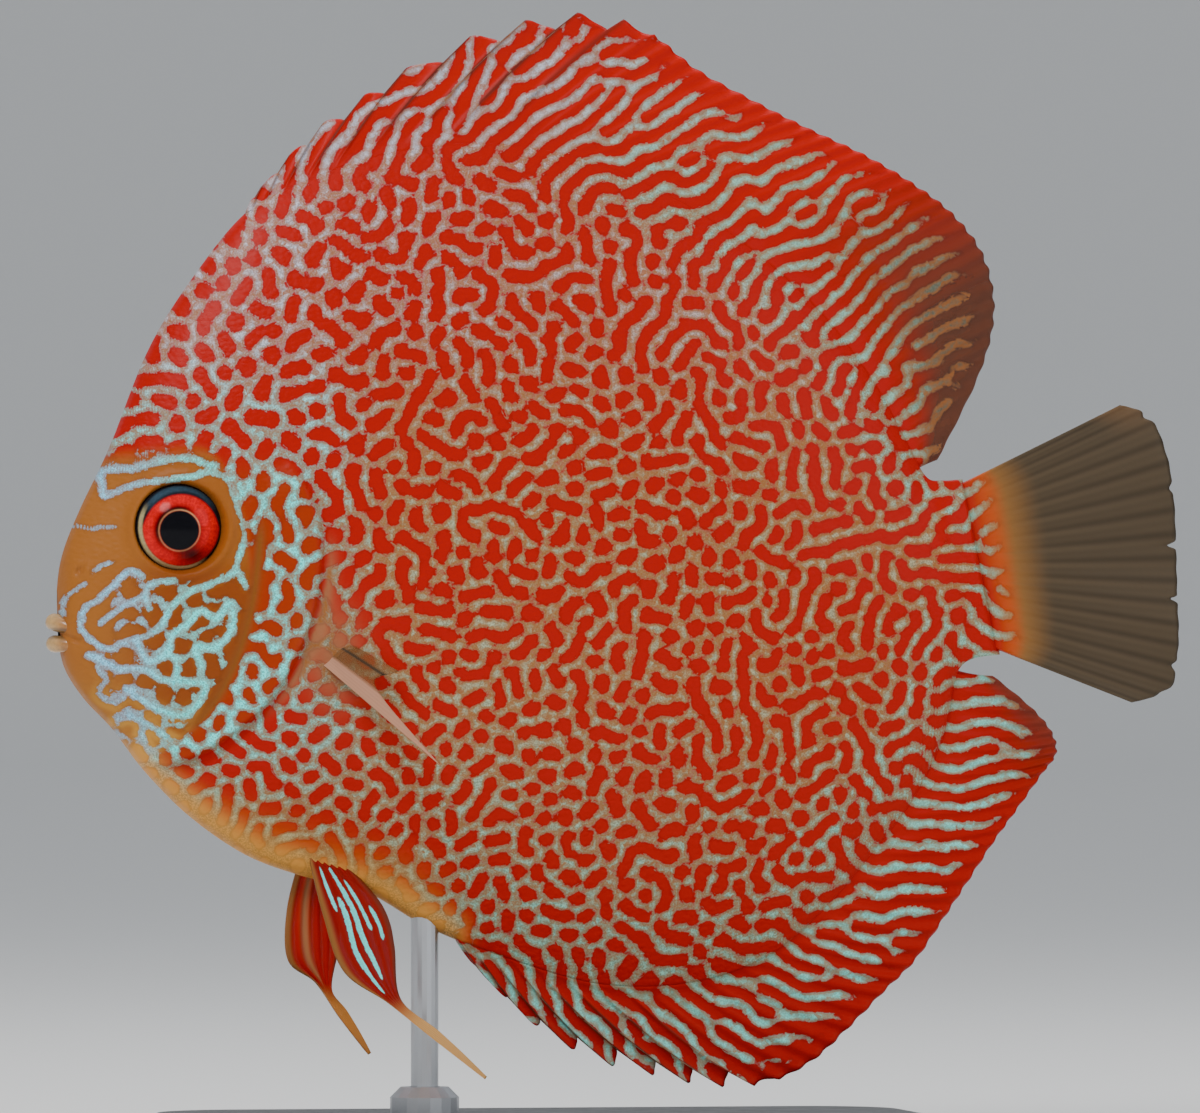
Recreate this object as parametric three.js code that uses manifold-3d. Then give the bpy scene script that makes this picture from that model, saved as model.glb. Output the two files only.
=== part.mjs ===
// Discus fish on a small display stand, life size, in millimetres, +Z up.
// The fish faces -X and its left side faces -Y. The origin is on the floor, under the middle of its length.
// The body is a lens lofted over ribs: each rib is a line from the belly edge to the back edge.
// Every fin is a thin slab that grows along paired points, one on its root line and one on its free edge.

import * as THREE from "three";
import { mergeVertices } from "three/addons/utils/BufferGeometryUtils.js";
import Module from "manifold-3d";

const wasm = await Module();
wasm.setup();

// Driving dimensions
const GAP = 0.3; // clearance between neighbouring pieces
const TAIL_BEND = 5; // how far the tail tip leans away from the left side
const TAIL_BEND_START = 15; // where along X the bend begins
const TAIL_TIP_X = 84;

// Stand
const BASE_LENGTH = 112;
const BASE_DEPTH = 66;
const BASE_THICKNESS = 6;
const BASE_CENTRE_X = -10;
const BASE_CORNER = 14;
const BASE_EDGE = 1.2;
const ROD_RADIUS = 2;
const ROD_X = -28.6;
const ROD_TOP_Z = 37.5;
const COLLAR_RADIUS = 5;
const COLLAR_HEIGHT = 4;

// Body ribs, head to tail: back edge, belly edge, half width, where the widest point sits on the rib,
// half thickness of both edges, and how sharply the side closes (0.5 is round, 1 is a lens)
const RIBS = {
  backX: [-82.3, -82.3, -81.4, -78.9, -74.6, -69, -62.4, -54.3, -44, -32.2, -19, -4.3, 9, 20.8, 30.3, 37.4, 42.1, 45.3, 48.1, 51.1],
  backZ: [79, 83.2, 87.9, 94.1, 103.1, 117, 127.6, 137.2, 142.5, 146, 147.2, 144.6, 138.8, 130.9, 122.1, 112.9, 104.7, 98.9, 98.2, 98.4],
  bellyX: [-81.9, -80.9, -78.2, -74.2, -69.6, -63.1, -55.1, -47, -37.4, -27.8, -16, -2.8, 10.5, 21.5, 29.9, 37.2, 43.6, 48.1, 50.5, 56.8],
  bellyZ: [73.8, 70.3, 66.3, 62.1, 56.1, 49.6, 44.1, 41, 38.6, 33.2, 28.6, 24.9, 25.1, 28.8, 35.5, 43.8, 52, 61.2, 70.9, 72.8],
  halfWidth: [2.6, 3.7, 4.8, 6, 7.3, 8.6, 9.8, 10.7, 11.2, 11.5, 11.4, 11, 10.2, 9, 7.6, 6.2, 5, 4, 3.4, 2.8],
  widest: [0.5, 0.5, 0.5, 0.5, 0.5, 0.48, 0.46, 0.45, 0.45, 0.45, 0.46, 0.48, 0.5, 0.5, 0.5, 0.5, 0.5, 0.5, 0.5, 0.5],
  backEdge: [0.8, 0.8, 0.8, 0.8, 0.8, 0.9, 1, 1.2, 1.3, 1.3, 1.3, 1.3, 1.3, 1.3, 1.3, 1.3, 1.3, 1.4, 1.6, 1.6],
  bellyEdge: [0.8, 0.8, 0.9, 1, 1, 1.1, 1.2, 1.4, 1.5, 1.5, 1.4, 1.3, 1.3, 1.3, 1.3, 1.3, 1.3, 1.4, 1.6, 1.6],
  closing: [0.5, 0.5, 0.52, 0.55, 0.6, 0.65, 0.7, 0.76, 0.82, 0.88, 0.92, 0.95, 0.95, 0.92, 0.88, 0.84, 0.78, 0.7, 0.6, 0.55],
};
const BODY_STEPS_LONG = 32;
const BODY_STEPS_HIGH = 14;

// Head details, in side view
const EYE = { x: -65.5, z: 91.3, radius: 6.4, depth: 4.4, proud: 1.9 };
const ORBIT = { radius: 7, tube: 0.75, sink: 0.15 };
const NOSTRIL = { x: -79.6, z: 85.1, radius: 0.8, depth: 1.2 };
const LIP_UPPER = { frontX: -84, frontZ: 77.6, sideX: -79.6, sideZ: 76.1, halfSpan: 3.1, radius: 1.3 };
const LIP_LOWER = { frontX: -83.9, frontZ: 74.5, sideX: -79.4, sideZ: 74.3, halfSpan: 3, radius: 1.25 };
const MOUTH = { frontX: -86, cornerX: -80.2, height: 0.5, z: 75.9 };
const GILL_FRONT = [[-54.3, 97.5], [-54.2, 89.5], [-55.2, 80.8], [-57.3, 72.8], [-60.4, 66.3], [-65, 60.6]];
const GILL_REAR = [[-49.4, 99.6], [-46.2, 92.4], [-46, 84.4], [-48.3, 75], [-53.3, 66.3], [-62, 59.2]];
const GILL_PLATE = { front: 0.55, rear: 1.25 };
const HEAD_SEAM = [[-57.8, 141], [-53, 119.9], [-49.6, 104], [-48.4, 91], [-48.6, 81], [-50.5, 73.5], [-54.6, 66.3], [-59, 59.7], [-62.5, 53.2], [-64.5, 44]];
const TAIL_SEAM = [[46.2, 101], [48.5, 90], [51, 80], [53.2, 69]];

// Fin ribs: root point and free-edge point of each named stretch, in side view
const DORSAL_SPINY = {
  root: [[-54.8, 136.9], [-52.6, 138.2], [-49.2, 140.1], [-44.7, 142.1], [-39.6, 144.1], [-33, 145.9], [-26.3, 146.9], [-19, 147.2], [-13.1, 146.6]],
  edge: [[-53.9, 138.9], [-50, 143.4], [-44.6, 148.9], [-38.1, 153.5], [-31.1, 158], [-20.8, 163], [-11.6, 165.3], [-3.2, 166], [4.6, 163.4]],
  rays: 9, notch: 0.16, rows: 4, ripple: 0.3, bow: 0.02,
};
const DORSAL_SOFT = {
  root: [[-12.8, 146.5], [-6.5, 145.1], [0.9, 142.7], [8.2, 139], [15.6, 134.6], [22.2, 129.8], [28.4, 124.3], [33.7, 118.2], [37.7, 112.4], [40.9, 106.6], [44.6, 100]],
  edge: [[5, 163.2], [11.9, 157.9], [20.8, 153.1], [28.4, 149.3], [36.2, 145.7], [43.6, 141.5], [49.9, 136.9], [54.6, 130.8], [56.2, 122.8], [53.9, 113.8], [47.4, 101.2]],
  rays: 16, notch: 0.02, rows: 5, ripple: 0.9, bow: 0.02,
};
const ANAL_SPINY = {
  root: [[-24.1, 31.6], [-21.2, 30.3], [-16.8, 28.8], [-10.9, 26.8], [-4.3, 25.1], [2.4, 24.5]],
  edge: [[-21.2, 27.7], [-12.4, 19.1], [-3.1, 13.8], [6.2, 11.4], [14.3, 10], [21.6, 10.4]],
  rays: 7, notch: 0.14, rows: 4, ripple: 0.3, bow: -0.04,
};
const ANAL_SOFT = {
  root: [[2.8, 24.5], [9, 24.9], [14.9, 26.4], [20.8, 28.6], [25.9, 32.2], [30.3, 35.8], [34, 40.2], [37.7, 44.2], [40.9, 48.3], [43.9, 52.3], [46.5, 56.8], [48.3, 61.2], [49.5, 66.3], [50, 70.6]],
  edge: [[22, 10.5], [28.4, 13.6], [34, 18.4], [39.6, 23.8], [44.3, 28.3], [48.4, 34.2], [52, 39.7], [55.8, 45.5], [59.3, 50.2], [63.1, 55.2], [65.5, 58.3], [64.9, 61.5], [61.7, 65.1], [55.8, 69.7]],
  rays: 15, notch: 0.02, rows: 5, ripple: 0.8, bow: -0.03,
};
const CAUDAL = {
  root: [[51.3, 97.9], [52, 96], [52.6, 93.1], [53.3, 89.9], [54, 86.6], [54.8, 83.2], [55.6, 79.7], [56.3, 76.1], [56.6, 73.4]],
  edge: [[75.2, 109.3], [79.9, 107.6], [82.3, 101.8], [83.5, 94.5], [84, 87], [84, 80], [84, 73.5], [83, 67.7], [77, 65.7]],
  rays: 14, notch: 0.02, rows: 6, ripple: 0.7, bow: 0,
};
const FIN = { rootHalf: 1.2, membraneHalf: 0.28, rayRise: 0.24, spineRise: 0.42, rootShare: 0.2, sink: 2 };

// Paired fins: root on the flank or belly, ray directions from first to last, and lengths
const PECTORAL = {
  root: [-46.5, -8, 73], rootSpan: [0.4, 0.5, 4.6], rays: 9, rows: 5,
  first: [16, -20, -16.2], last: [11.5, -6.5, -7], lengthDip: 0.1, rootHalf: 1, tipHalf: 0.27,
};
// Offsets from the root of the leading and the trailing ray; the right fin is the one swung forward
const PELVIC = { root: [-46.2, -2.4, 44.5], rootSpan: [5, 0.3, -1], rays: 4, rows: 6, rootHalf: 0.8, tipHalf: 0.3 };
const PELVIC_SIDE = [0.2, 0.97, 0.1]; // the way the pelvic sheets face
const PELVIC_LEFT = {
  lead: [[0, 0, 0], [2.9, -1.5, -8.6], [6.2, -3, -17], [10.4, -4.6, -20.6], [17.2, -5.6, -26.2], [25.2, -6.4, -32.6]],
  trail: [[0, 0, 0], [3.4, -1.1, -6], [6.6, -2.4, -10.6], [10.4, -3.8, -16.4], [15.6, -5.1, -23.4], [23.8, -6.2, -31]],
};
const PELVIC_RIGHT = {
  lead: [[0, 0, 0], [-2.2, -1.4, -8], [-2.6, -2.6, -14.5], [-0.6, -3.6, -18.5], [4.9, -4.6, -23], [10.6, -5.4, -29.4]],
  trail: [[0, 0, 0], [-1, -0.9, -6], [0.2, -2, -10.6], [2.6, -3, -16], [6.6, -4.2, -21], [11.4, -5.2, -27.6]],
};

// One smooth value through evenly spaced values, t from 0 to 1 (a Catmull-Rom curve)
function along(values, t) {
  const place = t * (values.length - 1);
  const i = Math.max(0, Math.min(Math.floor(place), values.length - 2));
  const f = place - i;
  const a = values[Math.max(i - 1, 0)];
  const b = values[i];
  const c = values[i + 1];
  const d = values[Math.min(i + 2, values.length - 1)];
  return 0.5 * (2 * b + (c - a) * f + (2 * a - 5 * b + 4 * c - d) * f * f + (3 * b - a - 3 * c + d) * f * f * f);
}

const alongPoints = (points, t) => points[0].map((_, k) => along(points.map((p) => p[k]), t));

// How far the median plane leans to +Y at a place along the fish
function bend(x) {
  const share = Math.max(0, (x - TAIL_BEND_START) / (TAIL_TIP_X - TAIL_BEND_START));
  return TAIL_BEND * share * share;
}

// A closed solid from two faces of one grid, split into triangles alike on both
function slab(longSteps, highSteps, facePoint) {
  const positions = [];
  const triangles = [];
  const wide = highSteps + 1;
  const face = (longSteps + 1) * wide;
  for (const side of [-1, 1]) {
    for (let i = 0; i <= longSteps; i++) {
      for (let j = 0; j <= highSteps; j++) positions.push(...facePoint(i, j, side));
    }
  }
  const quad = (a, b, c, d) => triangles.push(a, b, c, a, c, d);
  for (let i = 0; i < longSteps; i++) {
    for (let j = 0; j < highSteps; j++) {
      const a = i * wide + j;
      quad(a, a + wide, a + wide + 1, a + 1);
      triangles.push(face + a, face + a + wide + 1, face + a + wide);
      triangles.push(face + a, face + a + 1, face + a + wide + 1);
    }
  }
  for (let i = 0; i < longSteps; i++) {
    const low = i * wide;
    const high = low + highSteps;
    quad(low + wide, low, face + low, face + low + wide);
    quad(high, high + wide, face + high + wide, face + high);
  }
  for (let j = 0; j < highSteps; j++) {
    const last = longSteps * wide + j;
    quad(j, j + 1, face + j + 1, face + j);
    quad(last + 1, last, face + last, face + last + 1);
  }
  const geometry = new THREE.BufferGeometry();
  geometry.setAttribute("position", new THREE.Float32BufferAttribute(positions, 3));
  geometry.setIndex(triangles);
  return geometry;
}

// A three.js geometry as a manifold solid, turned right side out if need be
function toSolid(geometry) {
  const plain = geometry.clone();
  plain.deleteAttribute("normal");
  plain.deleteAttribute("uv");
  const merged = mergeVertices(plain, 1e-4);
  const triVerts = new Uint32Array(merged.index.array);
  const build = () =>
    new wasm.Manifold(
      new wasm.Mesh({ numProp: 3, vertProperties: merged.attributes.position.array, triVerts }),
    );
  const solid = build();
  if (solid.volume() >= 0) return solid;
  for (let i = 0; i < triVerts.length; i += 3) {
    [triVerts[i + 1], triVerts[i + 2]] = [triVerts[i + 2], triVerts[i + 1]];
  }
  return build();
}

function toGeometry(solid) {
  const mesh = solid.getMesh();
  const geometry = new THREE.BufferGeometry();
  geometry.setAttribute("position", new THREE.BufferAttribute(new Float32Array(mesh.vertProperties), 3));
  geometry.setIndex(new THREE.BufferAttribute(new Uint32Array(mesh.triVerts), 1));
  return geometry;
}

const largest = (solid) => solid.decompose().sort((a, b) => b.volume() - a.volume())[0];

// Body

function rib(t) {
  return {
    back: [along(RIBS.backX, t), along(RIBS.backZ, t)],
    belly: [along(RIBS.bellyX, t), along(RIBS.bellyZ, t)],
  };
}

// Half thickness of the body at share v of rib t, belly 0 to back 1
function bodyHalf(t, v) {
  const widest = along(RIBS.widest, t);
  const share = v > widest ? (v - widest) / (1 - widest) : (widest - v) / widest;
  const edge = along(v > widest ? RIBS.backEdge : RIBS.bellyEdge, t);
  const swell = Math.max(0, 1 - share * share) ** along(RIBS.closing, t);
  return edge + (along(RIBS.halfWidth, t) - edge) * swell;
}

// The whole body as one solid, grown outwards by the given amount
function bodySolid(grow) {
  const point = (i, j, side) => {
    const t = i / BODY_STEPS_LONG;
    const v = 0.5 - 0.5 * Math.cos((Math.PI * j) / BODY_STEPS_HIGH);
    const { back, belly } = rib(t);
    const length = Math.hypot(back[0] - belly[0], back[1] - belly[1]);
    const reach = v + ((2 * v - 1) * grow) / length;
    const x = belly[0] + (back[0] - belly[0]) * reach + (i === 0 ? -grow : i === BODY_STEPS_LONG ? grow : 0);
    const z = belly[1] + (back[1] - belly[1]) * reach;
    return [x, side * (bodyHalf(t, v) + grow) + bend(x), z];
  };
  return toSolid(slab(BODY_STEPS_LONG, BODY_STEPS_HIGH, point));
}

// Half thickness of the body under a point of its side view
function flank(x, z) {
  let low = 0;
  let high = 1;
  for (let n = 0; n < 30; n++) {
    const t = (low + high) / 2;
    const { back, belly } = rib(t);
    const ahead = (x - belly[0]) * (back[1] - belly[1]) - (z - belly[1]) * (back[0] - belly[0]);
    if (ahead > 0) low = t;
    else high = t;
  }
  const { back, belly } = rib(low);
  const span = [back[0] - belly[0], back[1] - belly[1]];
  const v = ((x - belly[0]) * span[0] + (z - belly[1]) * span[1]) / (span[0] ** 2 + span[1] ** 2);
  return bodyHalf(low, Math.max(0, Math.min(1, v)));
}

// A thin wall along a line of the side view, right through the body
function seamCutter(line) {
  const steps = 9;
  const reach = 30;
  return toSolid(
    slab(steps, 1, (i, j, side) => {
      const [x, z] = alongPoints(line, i / steps);
      return [x + (side * GAP) / 2, j ? reach : -reach, z];
    }),
  );
}

// Head details

function ellipsoid(centre, radii, across = 24, rows = 14) {
  const geometry = new THREE.SphereGeometry(1, across, rows);
  geometry.rotateX(Math.PI / 2);
  geometry.scale(...radii);
  geometry.translate(...centre);
  return toSolid(geometry);
}

function eyeCentre(side) {
  return [EYE.x, side * (flank(EYE.x, EYE.z) + EYE.proud - EYE.depth), EYE.z];
}

const eyeSolid = (side, grow) =>
  ellipsoid(eyeCentre(side), [EYE.radius + grow, EYE.depth + grow, EYE.radius + grow], 20, 10);

// The raised ring of skin round the eye, laid on the flank
function orbitSolid(side) {
  const ring = new THREE.TorusGeometry(ORBIT.radius, ORBIT.tube, 5, 20);
  ring.rotateX(Math.PI / 2);
  const position = ring.attributes.position;
  for (let i = 0; i < position.count; i++) {
    const x = position.getX(i) + EYE.x;
    const z = position.getZ(i) + EYE.z;
    const y = side * (position.getY(i) + flank(x, z) - ORBIT.sink);
    position.setXYZ(i, x, y, z);
  }
  return toSolid(ring);
}

// A lip: a tapered roll bent round the snout from one corner of the mouth to the other
function lipSolid(lip, grow) {
  const middles = 10;
  const around = 8;
  const rings = [];
  for (let i = 0; i <= middles; i++) {
    const angle = Math.PI * (i / middles - 0.5);
    const back = 1 - Math.cos(angle);
    const x = lip.frontX + lip.radius + (lip.sideX - lip.frontX) * back;
    const z = lip.frontZ + (lip.sideZ - lip.frontZ) * back;
    const radius = lip.radius * (1 - 0.45 * back) + grow;
    rings.push({ x, y: lip.halfSpan * Math.sin(angle), z, radius, angle });
  }
  const point = (i, j, side) => {
    const { x, y, z, radius, angle } = rings[i];
    const turn = Math.PI * (j / (around / 2) - 0.5);
    const out = side * Math.cos(turn) * radius;
    return [x + out * Math.cos(angle), y - out * Math.sin(angle), z + Math.sin(turn) * radius];
  };
  return toSolid(slab(middles, around / 2, point));
}

// The gill cover: a plate on the flank that thickens towards its free rear edge
function gillCover(side) {
  const rows = 10;
  const columns = 3;
  const point = (i, j, face) => {
    const front = alongPoints(GILL_FRONT, i / rows);
    const rear = alongPoints(GILL_REAR, i / rows);
    const b = j / columns;
    const x = front[0] + (rear[0] - front[0]) * b;
    const z = front[1] + (rear[1] - front[1]) * b;
    const proud = GILL_PLATE.front + (GILL_PLATE.rear - GILL_PLATE.front) * b;
    return [x, side * (flank(x, z) + (face > 0 ? proud + GAP : -1)), z];
  };
  return toSolid(slab(rows, columns, point));
}

// Fins

// A fin in the median plane: rays are ridges of the sheet, spines stand past a notched edge
function medianFin(fin, rise, fromShare = 0, toShare = 1) {
  const columns = fin.rays * 2;
  const point = (i, j, side) => {
    const share = fromShare + ((toShare - fromShare) * i) / columns;
    const crest = i % 2 === 1;
    const root = alongPoints(fin.root, share);
    const edge = alongPoints(fin.edge, share);
    const across = [edge[0] - root[0], edge[1] - root[1]];
    const length = Math.hypot(...across);
    const reach = crest || i === 0 || i === columns ? 1 : 1 - fin.notch;
    const w = (j / fin.rows) ** 1.25 * reach;
    const sunk = w - (j === 0 ? FIN.sink / length : 0);
    const bow = fin.bow * length * 4 * w * (1 - w);
    const x = root[0] + across[0] * sunk - (across[1] / length) * bow;
    const z = root[1] + across[1] * sunk + (across[0] / length) * bow;
    const fade = Math.max(0, 1 - (w * length) / (FIN.rootShare * 24));
    const tip = crest ? FIN.membraneHalf + rise * (1 - 0.6 * w) : FIN.membraneHalf;
    const half = tip + (FIN.rootHalf - tip) * fade * fade;
    const ripple = fin.ripple * w * w * Math.sin(share * Math.PI * 5);
    return [x, side * half + bend(x) + ripple, z];
  };
  return toSolid(slab(columns, fin.rows, point));
}

// A fin of the left side from ray lines: place(a, w) is a point on ray share a at share w of its length
function pairedFin(fin, place, outward) {
  const columns = fin.rays * 2;
  const point = (i, j, side) => {
    const w = j / fin.rows;
    const p = place(i / columns, w);
    const crest = i % 2 === 1 ? FIN.rayRise * (1 - w) : 0;
    const half = fin.tipHalf + (fin.rootHalf - fin.tipHalf) * Math.max(0, 1 - w * 4) + crest;
    return p.map((value, k) => value + side * half * outward[k]);
  };
  return toSolid(slab(columns, fin.rows, point));
}

function pectoralLeft() {
  const normal = new THREE.Vector3(...PECTORAL.first)
    .cross(new THREE.Vector3(...PECTORAL.rootSpan))
    .normalize();
  const place = (a, w) => {
    const length = 1 - PECTORAL.lengthDip * (2 * a - 1) ** 2;
    return PECTORAL.root.map((start, k) => {
      const ray = PECTORAL.first[k] + (PECTORAL.last[k] - PECTORAL.first[k]) * a;
      return start + PECTORAL.rootSpan[k] * a + ray * length * w;
    });
  };
  return pairedFin(PECTORAL, place, normal.toArray());
}

function pelvic(lines) {
  const place = (a, w) => {
    const lead = alongPoints(lines.lead, w);
    const trail = alongPoints(lines.trail, w);
    const near = 1 - w ** 3;
    return PELVIC.root.map((start, k) => {
      const trailing = trail[k] + PELVIC.rootSpan[k] * near;
      return start + lead[k] + (trailing - lead[k]) * a;
    });
  };
  return pairedFin(PELVIC, place, PELVIC_SIDE);
}

const mirrored = (solid) => solid.mirror([0, 1, 0]);

// Stand

function standBase() {
  const halfX = BASE_LENGTH / 2 - BASE_CORNER;
  const halfY = BASE_DEPTH / 2 - BASE_CORNER;
  const outline = new THREE.Shape();
  const inner = BASE_CORNER - BASE_EDGE;
  outline.absarc(halfX, halfY, inner, 0, Math.PI / 2);
  outline.absarc(-halfX, halfY, inner, Math.PI / 2, Math.PI);
  outline.absarc(-halfX, -halfY, inner, Math.PI, Math.PI * 1.5);
  outline.absarc(halfX, -halfY, inner, Math.PI * 1.5, Math.PI * 2);
  const plate = new THREE.ExtrudeGeometry(outline, {
    depth: BASE_THICKNESS - 2 * BASE_EDGE,
    bevelSize: BASE_EDGE,
    bevelThickness: BASE_EDGE,
    bevelSegments: 1,
    curveSegments: 6,
  });
  plate.translate(BASE_CENTRE_X, 0, BASE_EDGE);
  return toSolid(plate);
}

// A turned piece that stands on the base at the rod's place
function turned(profile, segments = 18) {
  const geometry = new THREE.LatheGeometry(profile.map(([r, z]) => new THREE.Vector2(r, z)), segments);
  geometry.rotateX(Math.PI / 2);
  geometry.translate(ROD_X, 0, 0);
  return toSolid(geometry);
}

const rodSolid = (grow) => {
  const low = BASE_THICKNESS + GAP;
  const r = ROD_RADIUS + grow;
  return turned([[0, low], [r, low], [r, ROD_TOP_Z + grow - 0.5], [r - 0.5, ROD_TOP_Z + grow], [0, ROD_TOP_Z + grow]]);
};

const collarSolid = () => {
  const inner = ROD_RADIUS + GAP;
  const low = BASE_THICKNESS + GAP;
  const high = low + COLLAR_HEIGHT;
  const profile = [[inner, low], [COLLAR_RADIUS, low], [COLLAR_RADIUS, high - 1.5], [COLLAR_RADIUS - 1.5, high], [inner, high], [inner, low]];
  return turned(profile);
};

// Cutting the pieces out of each other

const grown = bodySolid(GAP);
const offBody = (solid) => largest(solid.subtract(grown));

const leftGill = offBody(gillCover(-1));
const upperLip = lipSolid(LIP_UPPER, 0);
const lowerLip = largest(lipSolid(LIP_LOWER, 0).subtract(lipSolid(LIP_UPPER, GAP)));
const slotLength = MOUTH.cornerX - MOUTH.frontX;
const mouthSlot = toSolid(
  new THREE.BoxGeometry(slotLength, 9, MOUTH.height).translate(MOUTH.frontX + slotLength / 2, 0, MOUTH.z),
);

let flesh = bodySolid(0);
for (const side of [-1, 1]) flesh = flesh.add(orbitSolid(side));
for (const side of [-1, 1]) {
  flesh = flesh.subtract(eyeSolid(side, GAP));
  const pit = [NOSTRIL.x, side * (flank(NOSTRIL.x, NOSTRIL.z) - NOSTRIL.depth * 0.2), NOSTRIL.z];
  flesh = flesh.subtract(ellipsoid(pit, [NOSTRIL.radius, NOSTRIL.depth, NOSTRIL.radius], 8, 4));
}
flesh = flesh
  .subtract(lipSolid(LIP_UPPER, GAP))
  .subtract(lipSolid(LIP_LOWER, GAP))
  .subtract(mouthSlot)
  .subtract(rodSolid(GAP))
  .subtract(seamCutter(HEAD_SEAM))
  .subtract(seamCutter(TAIL_SEAM));
const middleX = (solid) => (solid.boundingBox().min[0] + solid.boundingBox().max[0]) / 2;
const [head, trunk, tailStem] = flesh
  .decompose()
  .sort((a, b) => b.volume() - a.volume())
  .slice(0, 3)
  .sort((a, b) => middleX(a) - middleX(b));

// Materials

const finish = (color, roughness, metalness = 0) =>
  new THREE.MeshStandardMaterial({ color, roughness, metalness });
const SKIN = finish(0xc8321c, 0.4);
const FACE = finish(0xc07028, 0.4);
const FIN_SKIN = finish(0xc42a18, 0.45);
const CLEAR_FIN = finish(0x6e5f4c, 0.4);
const EYE_RED = finish(0xd0141c, 0.15);
const LIP = finish(0xd9b070, 0.45);
const STEEL = finish(0xb8bcc0, 0.25, 1);
const BASE_FINISH = finish(0x2b2a2c, 0.5);

const nodes = [
  ["head", head, FACE],
  ["trunk", trunk, SKIN],
  ["tail_stem", tailStem, SKIN],
  ["gill_cover_left", leftGill, FACE],
  ["gill_cover_right", mirrored(leftGill), FACE],
  ["lip_upper", upperLip, LIP],
  ["lip_lower", lowerLip, LIP],
  ["eye_left", eyeSolid(-1, 0), EYE_RED],
  ["eye_right", eyeSolid(1, 0), EYE_RED],
  ["dorsal_fin_spines", offBody(medianFin(DORSAL_SPINY, FIN.spineRise)), FIN_SKIN],
  ["dorsal_fin_rays", offBody(medianFin(DORSAL_SOFT, FIN.rayRise)), FIN_SKIN],
  ["anal_fin_spines", offBody(medianFin(ANAL_SPINY, FIN.spineRise)), FIN_SKIN],
  ["anal_fin_rays", offBody(medianFin(ANAL_SOFT, FIN.rayRise)), FIN_SKIN],
  ["tail_fin", offBody(medianFin(CAUDAL, FIN.rayRise)), CLEAR_FIN],
  ["pectoral_fin_left", offBody(pectoralLeft()), CLEAR_FIN],
  ["pectoral_fin_right", offBody(mirrored(pectoralLeft())), CLEAR_FIN],
  ["pelvic_fin_left", offBody(pelvic(PELVIC_LEFT)), FIN_SKIN],
  ["pelvic_fin_right", offBody(mirrored(pelvic(PELVIC_RIGHT))), FIN_SKIN],
  ["stand_base", standBase(), BASE_FINISH],
  ["stand_collar", collarSolid(), STEEL],
  ["stand_rod", rodSolid(0), STEEL],
];

const fish = new THREE.Group();
for (const [name, solid, material] of nodes) {
  const mesh = new THREE.Mesh(toGeometry(solid), material);
  mesh.name = name;
  fish.add(mesh);
}

export default fish;
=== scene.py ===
"""Discus fish on a small display stand: the looks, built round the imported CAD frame.

The fish faces -X, its left side faces -Y and +Z is up. Shapes are worked out in millimetres,
in the side view where X runs to the tail and Z up, and are turned to metres when a mesh is made.
The same ribs, root lines and free edges as in the solids drive the skin and the fins, on finer grids.
The markings are grown, not drawn: a striping equation runs over the side view, and its height is
kept on every vertex as the attribute "mark", which the materials turn into red worms on a pale net.
"""

import logging
import math
from dataclasses import dataclass
from enum import Enum
from typing import Callable, Sequence, Union

import bpy
import numpy as np
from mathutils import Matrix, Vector

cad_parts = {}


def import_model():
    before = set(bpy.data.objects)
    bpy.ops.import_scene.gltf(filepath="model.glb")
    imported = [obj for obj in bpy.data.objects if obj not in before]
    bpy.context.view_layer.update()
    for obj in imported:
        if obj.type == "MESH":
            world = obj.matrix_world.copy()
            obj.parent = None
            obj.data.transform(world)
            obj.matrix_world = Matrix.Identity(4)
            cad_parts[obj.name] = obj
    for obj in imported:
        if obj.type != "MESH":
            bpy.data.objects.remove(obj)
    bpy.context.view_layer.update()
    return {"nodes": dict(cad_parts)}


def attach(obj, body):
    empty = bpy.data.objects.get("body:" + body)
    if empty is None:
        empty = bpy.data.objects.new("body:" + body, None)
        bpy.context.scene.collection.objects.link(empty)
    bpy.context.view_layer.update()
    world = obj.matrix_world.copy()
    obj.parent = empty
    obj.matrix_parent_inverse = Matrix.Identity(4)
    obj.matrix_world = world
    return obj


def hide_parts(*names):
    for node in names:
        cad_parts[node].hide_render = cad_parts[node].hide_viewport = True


logging.basicConfig(level=logging.INFO, format="%(message)s")
LOG = logging.getLogger("discus")

MM = 0.001
Grid = np.ndarray
Colour = tuple[float, float, float]
Place = tuple[float, float, float]
Socket = bpy.types.NodeSocket
Sockets = dict[str, Socket]
Fed = Union[Socket, float, tuple]


class Side(Enum):
    """A side of the fish, with the sign of its Y."""

    LEFT = -1.0
    RIGHT = 1.0


# Sizes shared with the solids, in millimetres

TAIL_BEND = 5.0
TAIL_BEND_START = 15.0
TAIL_TIP_X = 84.0

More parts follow.
